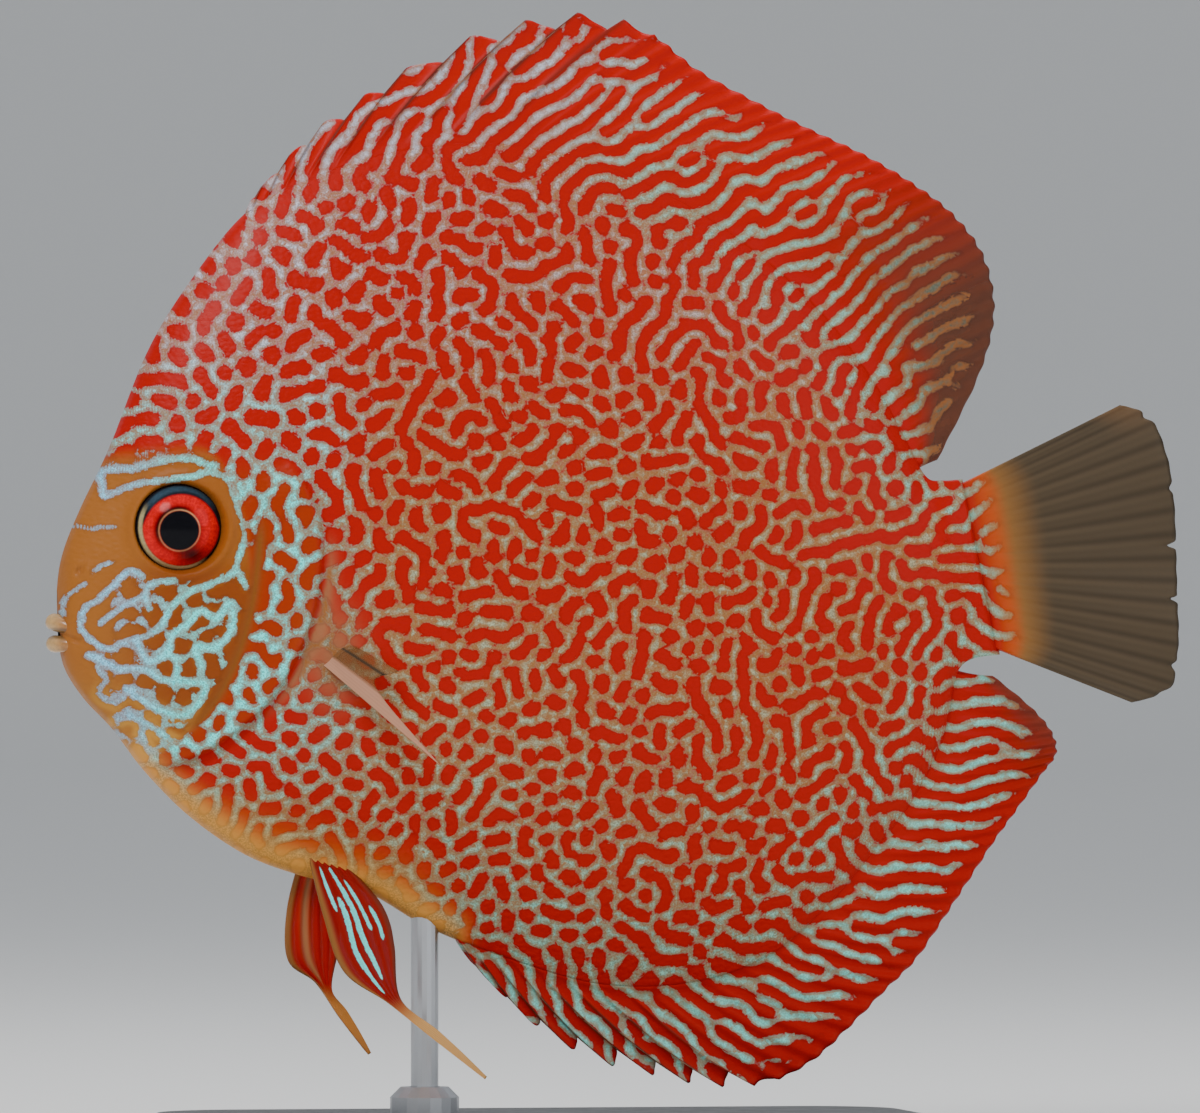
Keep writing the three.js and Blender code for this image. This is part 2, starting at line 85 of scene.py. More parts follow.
RIBS: dict[str, list[float]] = {
    "back_x": [
        -82.3, -82.3, -81.4, -78.9, -74.6, -69, -62.4, -54.3, -44, -32.2, -19, -4.3, 9, 20.8, 30.3, 37.4,
        42.1, 45.3, 48.1, 51.1,
    ],
    "back_z": [
        79, 83.2, 87.9, 94.1, 103.1, 117, 127.6, 137.2, 142.5, 146, 147.2, 144.6, 138.8, 130.9, 122.1,
        112.9, 104.7, 98.9, 98.2, 98.4,
    ],
    "belly_x": [
        -81.9, -80.9, -78.2, -74.2, -69.6, -63.1, -55.1, -47, -37.4, -27.8, -16, -2.8, 10.5, 21.5, 29.9,
        37.2, 43.6, 48.1, 50.5, 56.8,
    ],
    "belly_z": [
        73.8, 70.3, 66.3, 62.1, 56.1, 49.6, 44.1, 41, 38.6, 33.2, 28.6, 24.9, 25.1, 28.8, 35.5, 43.8, 52,
        61.2, 70.9, 72.8,
    ],
    "half_width": [
        2.6, 3.7, 4.8, 6, 7.3, 8.6, 9.8, 10.7, 11.2, 11.5, 11.4, 11, 10.2, 9, 7.6, 6.2, 5, 4, 3.4, 2.8,
    ],
    "widest": [
        0.5, 0.5, 0.5, 0.5, 0.5, 0.48, 0.46, 0.45, 0.45, 0.45, 0.46, 0.48, 0.5, 0.5, 0.5, 0.5, 0.5, 0.5,
        0.5, 0.5,
    ],
    "back_edge": [
        0.8, 0.8, 0.8, 0.8, 0.8, 0.9, 1, 1.2, 1.3, 1.3, 1.3, 1.3, 1.3, 1.3, 1.3, 1.3, 1.3, 1.4, 1.6, 1.6,
    ],
    "belly_edge": [
        0.8, 0.8, 0.9, 1, 1, 1.1, 1.2, 1.4, 1.5, 1.5, 1.4, 1.3, 1.3, 1.3, 1.3, 1.3, 1.3, 1.4, 1.6, 1.6,
    ],
    "closing": [
        0.5, 0.5, 0.52, 0.55, 0.6, 0.65, 0.7, 0.76, 0.82, 0.88, 0.92, 0.95, 0.95, 0.92, 0.88, 0.84, 0.78,
        0.7, 0.6, 0.55,
    ],
}

EYE_X, EYE_Z, EYE_RADIUS, EYE_DEPTH, EYE_PROUD = -65.5, 91.3, 6.4, 4.4, 1.9
PUPIL_X, PUPIL_Z, PUPIL_RADIUS = -65.95, 90.85, 2.85
NOSTRIL_X, NOSTRIL_Z = -79.6, 85.1
PECTORAL_X, PECTORAL_Z = -45.0, 74.6
MOUTH_Z = 76.0
MOUTH_LINE = [(-84.5, 76.2), (-82.4, 76.0), (-80.9, 75.4), (-79.9, 74.9)]
GILL_FRONT = [
    (-54.0, 99.0), (-54.0, 95.0), (-54.2, 89.5), (-55.2, 80.8), (-57.3, 72.8), (-60.4, 66.3), (-65, 60.6),
]
FACE_REAR = [
    (-63.5, 103.5), (-60.4, 101.3), (-57.4, 95.3), (-55.9, 88.7), (-55.8, 80.8), (-57.8, 72.8),
    (-61, 66.3), (-65.6, 60.6), (-72, 57),
]
GILL_REAR = [
    (-50.5, 101.5), (-47.6, 96.5), (-46.2, 92.4), (-46, 84.4), (-48.3, 75), (-53.3, 66.3), (-60.5, 60),
    (-66, 57.5), (-71, 57.3),
]
KEEL = [(-72, 57.6), (-64, 50.2), (-55, 44), (-47, 41.4), (-38, 38.8), (-31, 35.4), (-26, 32.4)]


def along(values: Sequence, share: Grid) -> Grid:
    """Smooth value through evenly spaced values: a cubic that leaves each along its two neighbours.

    Args:
        values: numbers or points, evenly spaced from share 0 to share 1.
        share: places to read, any shape.

    Returns:
        The values there, with one more axis where the values are points.
    """
    v = np.asarray(values, float)
    place = np.clip(share, 0, 1) * (len(v) - 1)
    i = np.clip(np.floor(place).astype(int), 0, len(v) - 2)
    f = place - i
    if v.ndim > 1:
        f = f[..., None]
    a, b, c, d = v[np.maximum(i - 1, 0)], v[i], v[i + 1], v[np.minimum(i + 2, len(v) - 1)]
    return 0.5 * (2 * b + (c - a) * f + (2 * a - 5 * b + 4 * c - d) * f**2 + (3 * b - a - 3 * c + d) * f**3)


def smooth(low: float, high: float, value: Grid) -> Grid:
    """0 below low, 1 above high, and an S curve between; low may be the larger one."""
    share = np.clip((value - low) / (high - low), 0, 1)
    return share * share * (3 - 2 * share)


def bell(value: Grid, width: float) -> Grid:
    """1 at zero, fading to 0 over a few widths on both sides."""
    return np.exp(-((value / width) ** 2))


def bend(x: Grid) -> Grid:
    """How far the median plane leans to +Y: it grows as the square of the way down the tail."""
    share = np.clip((x - TAIL_BEND_START) / (TAIL_TIP_X - TAIL_BEND_START), 0, None)
    return TAIL_BEND * share**2


def line_distance(x: Grid, z: Grid, line: Sequence, smooth_steps: int = 6) -> tuple[Grid, Grid]:
    """Distance from points of the side view to a smooth line.

    Args:
        x, z: the points.
        line: points of the line.
        smooth_steps: straight pieces per stretch of the line.

    Returns:
        The distance, positive on the left of the line's own direction, and the share along it.
    """
    knots = along(line, np.linspace(0, 1, (len(line) - 1) * smooth_steps + 1))
    best = np.full(x.shape, 1e9)
    share = np.zeros(x.shape)
    for k, (start, end) in enumerate(zip(knots[:-1], knots[1:])):
        way = end - start
        length = math.hypot(*way) + 1e-9
        dx, dz = x - start[0], z - start[1]
        t = np.clip((dx * way[0] + dz * way[1]) / length**2, 0, 1)
        gap = np.hypot(dx - t * way[0], dz - t * way[1])
        side = np.where(way[0] * dz - way[1] * dx >= 0, 1.0, -1.0)
        nearer = gap < np.abs(best)
        best = np.where(nearer, gap * side, best)
        share = np.where(nearer, (k + t) / (len(knots) - 1), share)
    return best, share


# The body's form


def rib_ends(t: Grid) -> tuple[Grid, Grid]:
    """Ends of the ribs.

    Args:
        t: rib shares, 0 at the snout and 1 at the end of the tail stem.

    Returns:
        Back points and belly points, each with X and Z last.
    """
    back = np.stack([along(RIBS["back_x"], t), along(RIBS["back_z"], t)], -1)
    belly = np.stack([along(RIBS["belly_x"], t), along(RIBS["belly_z"], t)], -1)
    return back, belly


def body_half(t: Grid, v: Grid) -> Grid:
    """Half thickness of the plain body: an edge plus a swell, widest near mid height.

    The swell is one less the square of the way from the widest place to the edge, to a power per rib.

    Args:
        t: rib shares.
        v: shares up the ribs, 0 at the belly and 1 at the back.

    Returns:
        The half thickness in millimetres.
    """
    widest = along(RIBS["widest"], t)
    share = np.where(v > widest, (v - widest) / (1 - widest), (widest - v) / widest)
    edge = np.where(v > widest, along(RIBS["back_edge"], t), along(RIBS["belly_edge"], t))
    swell = np.clip(1 - share**2, 0, 1) ** along(RIBS["closing"], t)
    return edge + (along(RIBS["half_width"], t) - edge) * swell


def flank(x: float, z: float) -> float:
    """Half thickness of the plain body under a point of its side view, found by halving the rib share.

    Args:
        x, z: the point.

    Returns:
        The half thickness there in millimetres.
    """
    x, z = np.asarray(x, float), np.asarray(z, float)
    low, high = np.zeros(x.shape), np.ones(x.shape)
    for _ in range(24):
        t = (low + high) / 2
        back, belly = rib_ends(t)
        span = back - belly
        ahead = (x - belly[..., 0]) * span[..., 1] - (z - belly[..., 1]) * span[..., 0] > 0
        low, high = np.where(ahead, t, low), np.where(ahead, high, t)
    back, belly = rib_ends(low)
    span = back - belly
    v = ((x - belly[..., 0]) * span[..., 0] + (z - belly[..., 1]) * span[..., 1]) / (span**2).sum(-1)
    return float(body_half(low, np.clip(v, 0, 1)))


@dataclass(frozen=True)
class Relief:
    """What stands out of or sinks into the plain flank, in millimetres.

    The gill cover rises slowly to its free edge and drops behind it. A groove marks its front part.
    A ring of skin rises round the eye over a socket, and the nostril and mouth are small pits.

    Attributes:
        cover_rise, cover_run: how far the gill cover stands out, and over which length it rises.
        gill_dip, gill_dip_at, gill_dip_width: the hollow behind the cover's free edge.
        groove_depth, groove_width: the groove in the cover.
        ridge_rise, ridge_at, ridge_width: the low ridge behind the groove.
        eye_ring_rise, eye_ring_radius, eye_ring_width: the ring of skin round the eye.
        socket_depth, socket_from, socket_to: the socket under the eye and where its wall stands.
        nose_rise, nose_radius, nose_width: the nostril's rim.
        nose_depth, nose_pit: the nostril's pit.
        mouth_depth, mouth_width: the line of the mouth.
        root_rise, root_width: the swelling that the pectoral fin grows from.
    """

    cover_rise: float = 1.15
    cover_run: float = 6.5
    gill_dip: float = 0.25
    gill_dip_at: float = 1.3
    gill_dip_width: float = 0.9
    groove_depth: float = 0.42
    groove_width: float = 0.7
    ridge_rise: float = 0.18
    ridge_at: float = 1.4
    ridge_width: float = 0.9
    eye_ring_rise: float = 0.62
    eye_ring_radius: float = 7.0
    eye_ring_width: float = 0.75
    socket_depth: float = 3.2
    socket_from: float = 6.7
    socket_to: float = 5.6
    nose_rise: float = 0.16
    nose_radius: float = 0.95
    nose_width: float = 0.35
    nose_depth: float = 0.6
    nose_pit: float = 0.55
    mouth_depth: float = 0.5
    mouth_width: float = 0.35
    root_rise: float = 0.55
    root_width: float = 1.6

    def height(self, x: Grid, z: Grid) -> Grid:
        """The relief over the side view.

        Args:
            x, z: the points.

        Returns:
            The height there in millimetres, below zero where the skin sinks in.
        """
        rear, rear_share = line_distance(x, z, GILL_REAR)
        strength = smooth(0, 0.12, rear_share) * smooth(1, 0.8, rear_share)
        lift = np.where(rear < 0, np.exp(np.clip(rear, -60, 0) / self.cover_run), smooth(0.7, 0, rear))
        dip = bell(rear - self.gill_dip_at, self.gill_dip_width)
        height = self.cover_rise * strength * lift - self.gill_dip * strength * dip
        front, front_share = line_distance(x, z, GILL_FRONT)
        fade = smooth(0, 0.15, front_share) * smooth(1, 0.85, front_share)
        height -= self.groove_depth * fade * bell(front, self.groove_width)
        height += self.ridge_rise * fade * bell(front - self.ridge_at, self.ridge_width)
        eye = np.hypot(x - EYE_X, z - EYE_Z)
        ring = self.eye_ring_rise * bell(eye - self.eye_ring_radius, self.eye_ring_width)
        height += ring - self.socket_depth * smooth(self.socket_from, self.socket_to, eye)
        nose = np.hypot(x - NOSTRIL_X, (z - NOSTRIL_Z) * 1.1)
        rim = self.nose_rise * bell(nose - self.nose_radius, self.nose_width)
        height += rim - self.nose_depth * bell(nose, self.nose_pit)
        mouth, _ = line_distance(x, z, MOUTH_LINE)
        height -= self.mouth_depth * bell(mouth, self.mouth_width)
        root = np.hypot((x - PECTORAL_X) / 1.1, (z - PECTORAL_Z) / 1.8)
        return height + self.root_rise * bell(root, self.root_width)


RELIEF = Relief()


# Meshes


def ring_mesh(name: str, left: Grid, right: Grid, data: dict[str, tuple[Grid, Grid]]) -> bpy.types.Object:
    """One closed surface from two faces that share their first and last rows.

    Args:
        name: name of the object.
        left, right: points in millimetres, columns by rows by 3, left facing -Y.
        data: attributes per point, columns by rows (by 3 for a colour), for left and right.

    Returns:
        The object, shaded smooth, at the origin.
    """

    def looped(a: Grid, b: Grid) -> Grid:
        """The first face's rows, then the second's backwards without its ends."""
        return np.concatenate([a, b[:, -2:0:-1]], axis=1)

    points = looped(left, right) * MM
    columns, around = points.shape[:2]
    index = np.arange(columns * around).reshape(columns, around)
    a = index[:-1]
    b = np.roll(index, -1, 1)[:-1]
    c = np.roll(index, -1, 1)[1:]
    d = index[1:]
    faces = np.stack([a, d, c, b], -1).reshape(-1, 4)
    mesh = bpy.data.meshes.new(name)
    mesh.vertices.add(columns * around)
    mesh.vertices.foreach_set("co", points.reshape(-1).astype(np.float32))
    mesh.loops.add(faces.size)
    mesh.loops.foreach_set("vertex_index", faces.reshape(-1).astype(np.int32))
    mesh.polygons.add(len(faces))
    mesh.polygons.foreach_set("loop_start", np.arange(0, faces.size, 4, dtype=np.int32))
    mesh.polygons.foreach_set("use_smooth", np.ones(len(faces), bool))
    for key, (on_left, on_right) in data.items():
        values = looped(on_left, on_right)
        if values.ndim == 3:
            values = np.concatenate([values, np.ones(values.shape[:2] + (1,))], -1)
            kind, field = "FLOAT_COLOR", "color"
        else:
            kind, field = "FLOAT", "value"
        flat = values.reshape(-1).astype(np.float32)
        mesh.attributes.new(key, kind, "POINT").data.foreach_set(field, flat)
    mesh.update(calc_edges=True)
    mesh.validate()
    thing = bpy.data.objects.new(name, mesh)
    bpy.context.scene.collection.objects.link(thing)
    LOG.info("%s: %d vertices", name, len(mesh.vertices))
    return thing


def both_sides(made: dict[Side, dict[str, Grid]]) -> dict[str, tuple[Grid, Grid]]:
    """Attributes made for each side, paired by name as left and right."""
    return {key: (made[Side.LEFT][key], made[Side.RIGHT][key]) for key in made[Side.LEFT]}


def same_sides(data: dict[str, Grid]) -> dict[str, tuple[Grid, Grid]]:
    """Attributes that are the same on both faces of a sheet, paired for left and right."""
    return {key: (values, values) for key, values in data.items()}


# The side view's lattice, its zones and the grown markings


@dataclass(frozen=True)
class Lattice:
    """The cells of the side view that the markings grow on, in millimetres."""

    x0: float = -87.0
    z0: float = 4.0
    cell: float = 0.44
    columns: int = 400
    rows: int = 384

    def centres(self) -> tuple[Grid, Grid]:
        """Middles of the cells.

        Returns:
            X and Z of every cell, rows by columns.
        """
        x = self.x0 + self.cell * (np.arange(self.columns) + 0.5)
        z = self.z0 + self.cell * (np.arange(self.rows) + 0.5)
        return np.meshgrid(x, z)

    def read(self, values: Grid, x: Grid, z: Grid) -> Grid:
        """Values between the cells, mixed from the four nearest.

        Args:
            values: one value per cell.
            x, z: places to read.

        Returns:
            The values there.
        """
        fx = np.clip((x - self.x0) / self.cell - 0.5, 0, self.columns - 1.001)
        fz = np.clip((z - self.z0) / self.cell - 0.5, 0, self.rows - 1.001)
        i, j = fx.astype(int), fz.astype(int)
        u, w = fx - i, fz - j
        low = values[j, i] * (1 - u) + values[j, i + 1] * u
        high = values[j + 1, i] * (1 - u) + values[j + 1, i + 1] * u
        return low * (1 - w) + high * w

    def cells(self, x: Grid, z: Grid) -> tuple[Grid, Grid]:
        """Cells that hold points.

        Args:
            x, z: the points.

        Returns:
            Row and column of the cell of each point.
        """
        i = np.clip(((x - self.x0) / self.cell).astype(int), 0, self.columns - 1)
        j = np.clip(((z - self.z0) / self.cell).astype(int), 0, self.rows - 1)
        return j, i


LATTICE = Lattice()


def read_px(px: float, py: float, side: float) -> tuple[float, float]:
    """A place read in the picture as X and Z on a flank that stands side millimetres to the left."""
    return (px - 619) * 0.1472 - 0.176 * side, 10 + (1088 - py) * 0.145


# Pale lines of the face as read in the picture: half thickness of the head there, line width, then places
FACE_LINES: list[tuple[float, float, list[tuple[int, int]]]] = [
    (8, 0.8, [
        (112, 497), (145, 484), (189, 478), (214, 473), (230, 482), (237, 502), (245, 533), (240, 553),
        (235, 571),
    ]),
    (8, 1.0, [(112, 497), (112, 471), (138, 469), (168, 461), (194, 459), (217, 466), (230, 454)]),
    (8, 0.9, [
        (147, 577), (134, 570), (120, 584), (102, 601), (92, 606), (89, 617), (88, 627), (99, 640),
        (115, 649), (127, 642), (143, 638), (163, 627), (172, 610), (189, 593), (212, 584), (237, 573),
        (246, 586),
    ]),
    (8, 0.8, [(106, 623), (130, 604), (148, 596), (153, 584), (176, 580)]),
    (8, 0.8, [(148, 596), (153, 608)]),
    (9, 1.1, [
        (143, 640), (153, 660), (172, 652), (176, 635), (191, 624), (203, 610), (219, 617), (230, 604),
        (235, 617), (230, 635), (217, 647), (199, 646), (204, 665),
    ]),
    (9, 0.9, [(172, 652), (181, 661), (180, 676)]),
    (9, 1.1, [
        (97, 654), (110, 660), (127, 668), (150, 668), (166, 678), (189, 681), (209, 683), (203, 701),
        (189, 714), (166, 709), (148, 698), (133, 688),
    ]),
    (7, 0.7, [(97, 654), (107, 656), (104, 668), (112, 678), (106, 692), (122, 702), (133, 688)]),
    (7, 0.7, [
        (125, 719), (136, 716), (152, 722), (165, 732), (182, 742), (193, 737), (201, 724), (219, 722),
        (221, 738), (208, 750), (188, 757), (163, 755), (152, 745), (147, 730),
    ]),
    (6, 0.5, [(79, 525), (97, 528), (119, 527)]),
    (6, 0.5, [(97, 571), (105, 566), (117, 562)]),
    (5, 0.5, [(69, 617), (71, 598), (89, 583)]),
]


@dataclass
class Zones:
    """Smooth shares, 0 to 1, of the parts of the side view that are coloured or marked apart.

    The plain numbers below are places in the side view in millimetres, between which a zone fades.

    Attributes:
        x, z: points of the side view.
    """

    x: Grid
    z: Grid

    def __post_init__(self) -> None:
        """Works out every zone at the points."""
        x, z = self.x, self.z
        gill, _ = line_distance(x, z, GILL_REAR)
        below_chin = smooth(58.5, 55.5, z + 0.25 * (x + 70))
        above = smooth(0, 3.5, z - (100.5 + 0.12 * (x + 66)))
        front, _ = line_distance(x, z, FACE_REAR)
        self.face = smooth(0.7, -0.7, front) * (1 - above) * (1 - below_chin)
        behind_face = smooth(-0.7, 0.7, front) * smooth(0.8, -0.8, gill)
        self.cover = behind_face * smooth(103, 97, z) * (1 - below_chin)
        groove, _ = line_distance(x, z, GILL_FRONT)
        self.groove = bell(groove + 0.1, 0.75) * smooth(94, 89, z) * smooth(60, 64, z)
        self.forehead = smooth(-34, -50, x) * smooth(92, 103, z)
        self.nape = smooth(-8, -34, x) * smooth(110, 124, z)
        self.throat = smooth(56, 47, z + 0.30 * (x + 60)) * smooth(-22, -34, x)
        self.front_low = smooth(12, -22, x) * smooth(82, 64, z)
        self.rear = smooth(0, 42, x)
        self.back = smooth(92, 128, z)
        self.low = smooth(70, 40, z)
        past_gill = bell(np.clip(gill - 1.4, 0, None), 1.2) * smooth(1.0, 1.6, gill)
        self.bare = past_gill * smooth(92, 84, z) * smooth(62, 71, z)
        keel, _ = line_distance(x, z, KEEL)
        self.keel = bell(np.clip(np.abs(keel) - 1.0, 0, None), 2.2)
        back_line, _ = line_distance(x, z, DORSAL.root[6::2], 2)
        belly_line, _ = line_distance(x, z, ANAL.root[::2], 2)
        by_dorsal = smooth(-11, -2, back_line) * smooth(-14, 6, x)
        self.fin_side = np.maximum(by_dorsal, smooth(-16, -2, -belly_line)) * smooth(66, 52, x)
        self.socket = bell(np.hypot((x + 43.5) / 1.2, (z - 72.5) / 2.2), 3.0)


@dataclass
class Markings:
    """The height field that decides where the skin is red: above zero is red, below is pale.

    The face has its own lines, and gap is the distance to the nearest of them in millimetres.
    """

    values: Grid
    gap: Grid

    def at(self, x: Grid, z: Grid) -> Grid:
        """The field at points of the side view."""
        return LATTICE.read(self.values, x, z)

    def face_gap(self, x: Grid, z: Grid) -> Grid:
        """The distance to the face's lines at points of the side view."""
        return LATTICE.read(self.gap, x, z)


def blurred(values: Grid, width: float) -> Grid:
    """Values smoothed over a round bell, by a product of frequencies.

    Args:
        values: one value per cell.
        width: the bell's width in cells.

    Returns:
        The smoothed values.
    """
    kx = 2 * np.pi * np.fft.rfftfreq(values.shape[1])
    kz = 2 * np.pi * np.fft.fftfreq(values.shape[0])
    damp = np.exp(-0.5 * width**2 * (kx[None, :] ** 2 + kz[:, None] ** 2))
    return np.fft.irfft2(np.fft.rfft2(values) * damp, s=values.shape)


def face_lines(x: Grid, z: Grid) -> Grid:
    """Distance to the edge of the nearest pale line of the face.

    Args:
        x, z: points of the side view.

    Returns:
        The distance in millimetres, below zero inside a line.
    """
    gap = np.full(x.shape, 9.0)
    for side, width, places in FACE_LINES:
        line = [read_px(px, py, side) for px, py in places]
        off, _ = line_distance(x, z, line, 4)
        gap = np.minimum(gap, np.abs(off) - 0.52 * width)
    return gap


@dataclass(frozen=True)
class RayField:
    """Ray directions over a fin, for the markings.

    Attributes:
        x, z: points of the fin in the side view.
        dx, dz: the ray's direction there.
        strength: how strongly stripes follow it.
    """

    x: Grid
    z: Grid
    dx: Grid
    dz: Grid
    strength: Grid


@dataclass(frozen=True)
class Growth:
    """A striping equation that grows the markings over the side view.

    Height grows at one spacing only and is held by its cube. Its square favours spots over worms.
    A fixed rough push breaks the worms up, and a spread along the fin rays turns them to stripes.

    Attributes:
        period: spacing of the markings on the body, in millimetres.
        step: length of one step of the run.
        drive: how fast height grows.
        level_width, share_width: cells over which height and the share of red are evened out.
        level_rounds: rounds of the evening out.
        red_share: share of the body that the red takes.
        gain: height of the finished field against its spread.
    """

    period: float = 3.05
    step: float = 0.5
    drive: float = 0.65
    level_width: float = 14
    share_width: float = 12
    level_rounds: int = 12
    red_share: float = 0.57
    gain: float = 0.62

    def pulls(self, zones: Zones, rays: Sequence[RayField]) -> tuple[Grid, Grid, Grid]:
        """Directions that stripes are pulled along.

        Ray directions are mixed as doubled angles, so that opposite ways agree.

        Args:
            zones: zones of the lattice's cells.
            rays: ray directions of the fins.

        Returns:
            Cosine and sine of the direction and its strength, per cell.
        """
        pull = 0.09 * zones.rear * smooth(0.3, 0, np.abs(zones.z - 85) / 90) + 0.12 * zones.cover
        double_x, double_z = -pull, np.zeros(pull.shape)
        for field in rays:
            j, i = LATTICE.cells(field.x, field.z)
            double_x[j, i] = field.strength * (field.dx**2 - field.dz**2)
            double_z[j, i] = field.strength * 2 * field.dx * field.dz
        double_x, double_z = blurred(double_x, 3), blurred(double_z, 3)
        angle = 0.5 * np.arctan2(double_z, double_x)
        return np.cos(angle), np.sin(angle), np.hypot(double_x, double_z)

    def run(self, rays: Sequence[RayField], seed: int, steps: int) -> Markings:
        """Grows the markings of one side.

        Args:
            rays: ray directions of the fins.
            seed: start of the random numbers.
            steps: steps of the run.

        Returns:
            The grown field, with the face's own lines laid in.
        """
        x, z = LATTICE.centres()
        zones = Zones(x, z)
        random = np.random.default_rng(seed)
        cos, sin, strength = self.pulls(zones, rays)
        closer = 0.2 * zones.front_low * (1 - zones.forehead)
        period = self.period + 0.3 * zones.forehead - 0.05 * zones.rear - closer
        wave = 2 * np.pi * LATTICE.cell / period
        middle = wave.mean()
        drift = (wave**2 - middle**2) / middle**2
        kx = 2 * np.pi * np.fft.rfftfreq(LATTICE.columns)
        kz = 2 * np.pi * np.fft.fftfreq(LATTICE.rows)
        pitch = (kx[None, :] ** 2 + kz[:, None] ** 2) / middle**2
        damping = 1 + self.step * ((1 - pitch) ** 2 + 3 * np.exp(-((pitch / 0.3) ** 2)))
        body = np.clip(1 - 2 * strength, 0, 1)
        front_spots = np.maximum.reduce([zones.front_low, zones.throat, 0.8 * zones.cover])
        spots = 0.35 + body * (0.75 + 0.7 * zones.forehead + 0.15 * zones.nape + 0.5 * front_spots)
        rough = (0.35 + 0.6 * body) * random.standard_normal(x.shape)
        height = 0.3 * random.standard_normal(x.shape)

        def slope(a: Grid, axis: int) -> Grid:
            """How fast values rise along an axis, per cell."""
            return (np.roll(a, -1, axis) - np.roll(a, 1, axis)) / 2

        for _ in range(steps):
            near = np.roll(height, 1, 0) + np.roll(height, -1, 0)
            near = near + np.roll(height, 1, 1) + np.roll(height, -1, 1)
            spread = height + (near - 4 * height) / middle**2
            flow = strength * (cos * slope(height, 1) + sin * slope(height, 0))
            turned = (slope(flow * cos, 1) + slope(flow * sin, 0)) / middle**2
            grown = self.drive * height + spots * height**2 - height**3
            push = grown - 2 * drift * spread - drift**2 * height + turned + rough
            height = np.fft.irfft2(np.fft.rfft2(height + self.step * push) / damping, s=height.shape)
        return self.finished(height, body, zones)

    def finished(self, height: Grid, body: Grid, zones: Zones) -> Markings:
        """Levels the grown height and lays the face's lines in.

        The height is shifted until the share of red round each cell is the one of its zone.

        Args:
            height: the grown height.
            body: 1 away from the fins, 0 on them.
            zones: zones of the lattice's cells.

        Returns:
            The finished markings.
        """
        even = height - blurred(height, self.level_width)
        even = even / np.sqrt(blurred(even**2, self.level_width))
        goal = self.red_share - 0.04 * zones.forehead - 0.07 * zones.front_low
        goal = goal - 0.02 * zones.throat - 0.05 * zones.cover + 0.02 * (1 - body)
        shift = np.zeros(height.shape)
        for _ in range(self.level_rounds):
            shift = shift + goal - blurred((even + shift > 0).astype(float), self.share_width)
        field = self.gain * (even + shift)
        gap = face_lines(zones.x, zones.z)
        cheek = smooth(-79, -74, zones.x) * smooth(87, 82, zones.z)
        lines = np.minimum(np.clip(gap / 0.6, -1, 1), field + 0.28 + 2 * (1 - cheek))
        field = field * (1 - zones.face) + lines * zones.face
        return Markings(field + 1.4 * zones.groove, gap)


# Colours, as linear light


def srgb(red: int, green: int, blue: int) -> Colour:
    """Linear colour from the values that a screen shows.

    Args:
        red, green, blue: the values, 0 to 255.

    Returns:
        The colour as linear light.
    """

    def linear(value: int) -> float:
        """One part of the colour as linear light."""
        share = value / 255
        return (share / 12.92) if share <= 0.04045 else ((share + 0.055) / 1.055) ** 2.4

    return linear(red), linear(green), linear(blue)


class Tint(Enum):
    """The fish's colours, as linear light."""

    RED = (0.44, 0.003, 0.0)
    # A darker copy of RED as painted shade, used on the near pelvic fin
    SHADED_RED = (0.27, 0.003, 0.001)
    BROWN_RED = (0.36, 0.028, 0.002)
    OCHRE = (0.33, 0.1, 0.014)
    DARK_OCHRE = (0.24, 0.075, 0.012)
    CHEEK = (0.26, 0.055, 0.006)
    SNOUT = (0.36, 0.13, 0.025)
    FRINGE = (0.34, 0.1, 0.012)
    ORANGE = (0.62, 0.19, 0.015)
    YELLOW = (0.6, 0.3, 0.05)
    PEACH = (0.68, 0.31, 0.06)
    TURQUOISE = (0.13, 0.98, 0.95)
    SEA = (0.26, 0.56, 0.44)
    ICE = (0.32, 0.62, 0.95)
    GREY_GREEN = (0.4, 0.42, 0.27)
    PINK_GREY = (0.5, 0.36, 0.36)
    PEARL = (0.56, 0.57, 0.66)
    SAND = (0.42, 0.2, 0.075)
    DUN = (0.31, 0.17, 0.075)
    SMOKE = (0.035, 0.026, 0.016)
    HAZE = (0.11, 0.075, 0.042)
    UMBER = (0.12, 0.03, 0.01)
    AMBER = (0.27, 0.12, 0.03)
    CREAM = (0.66, 0.44, 0.18)


def flat_colour(tint: Tint, shape: tuple[int, ...]) -> Grid:
    """One tint at every point of a grid."""
    return np.broadcast_to(np.array(tint.value), shape + (3,))


def blend_colours(base: Grid, tint: Tint, share: Grid) -> Grid:
    """Base colours mixed towards a tint by a share per point."""
    return base * (1 - share[..., None]) + np.array(tint.value) * share[..., None]


def pale_colour(zones: Zones) -> Grid:
    """Colour of the pale net: pinkish on the back, sea green below, bluish on the head.

    Args:
        zones: zones of the points.

    Returns:
        The colour per point.
    """
    pale = flat_colour(Tint.GREY_GREEN, zones.x.shape)
    pale = blend_colours(pale, Tint.PINK_GREY, zones.back * 0.85)
    pale = blend_colours(pale, Tint.SAND, zones.rear * 0.3 * (1 - zones.fin_side))
    sea = np.clip(zones.low * 0.6 + zones.fin_side * 0.85, 0, 1) * (1 - zones.nape)
    pale = blend_colours(pale, Tint.SEA, sea)
    pale = blend_colours(pale, Tint.PEARL, np.maximum(zones.forehead, 0.7 * zones.nape * zones.back) * 0.85)
    near_head = smooth(-34, -50, zones.x) * smooth(120, 104, zones.z) * smooth(50, 62, zones.z)
    blue = np.maximum.reduce([zones.face, zones.cover, 0.7 * near_head])
    return blend_colours(pale, Tint.TURQUOISE, blue)


# Shader groups


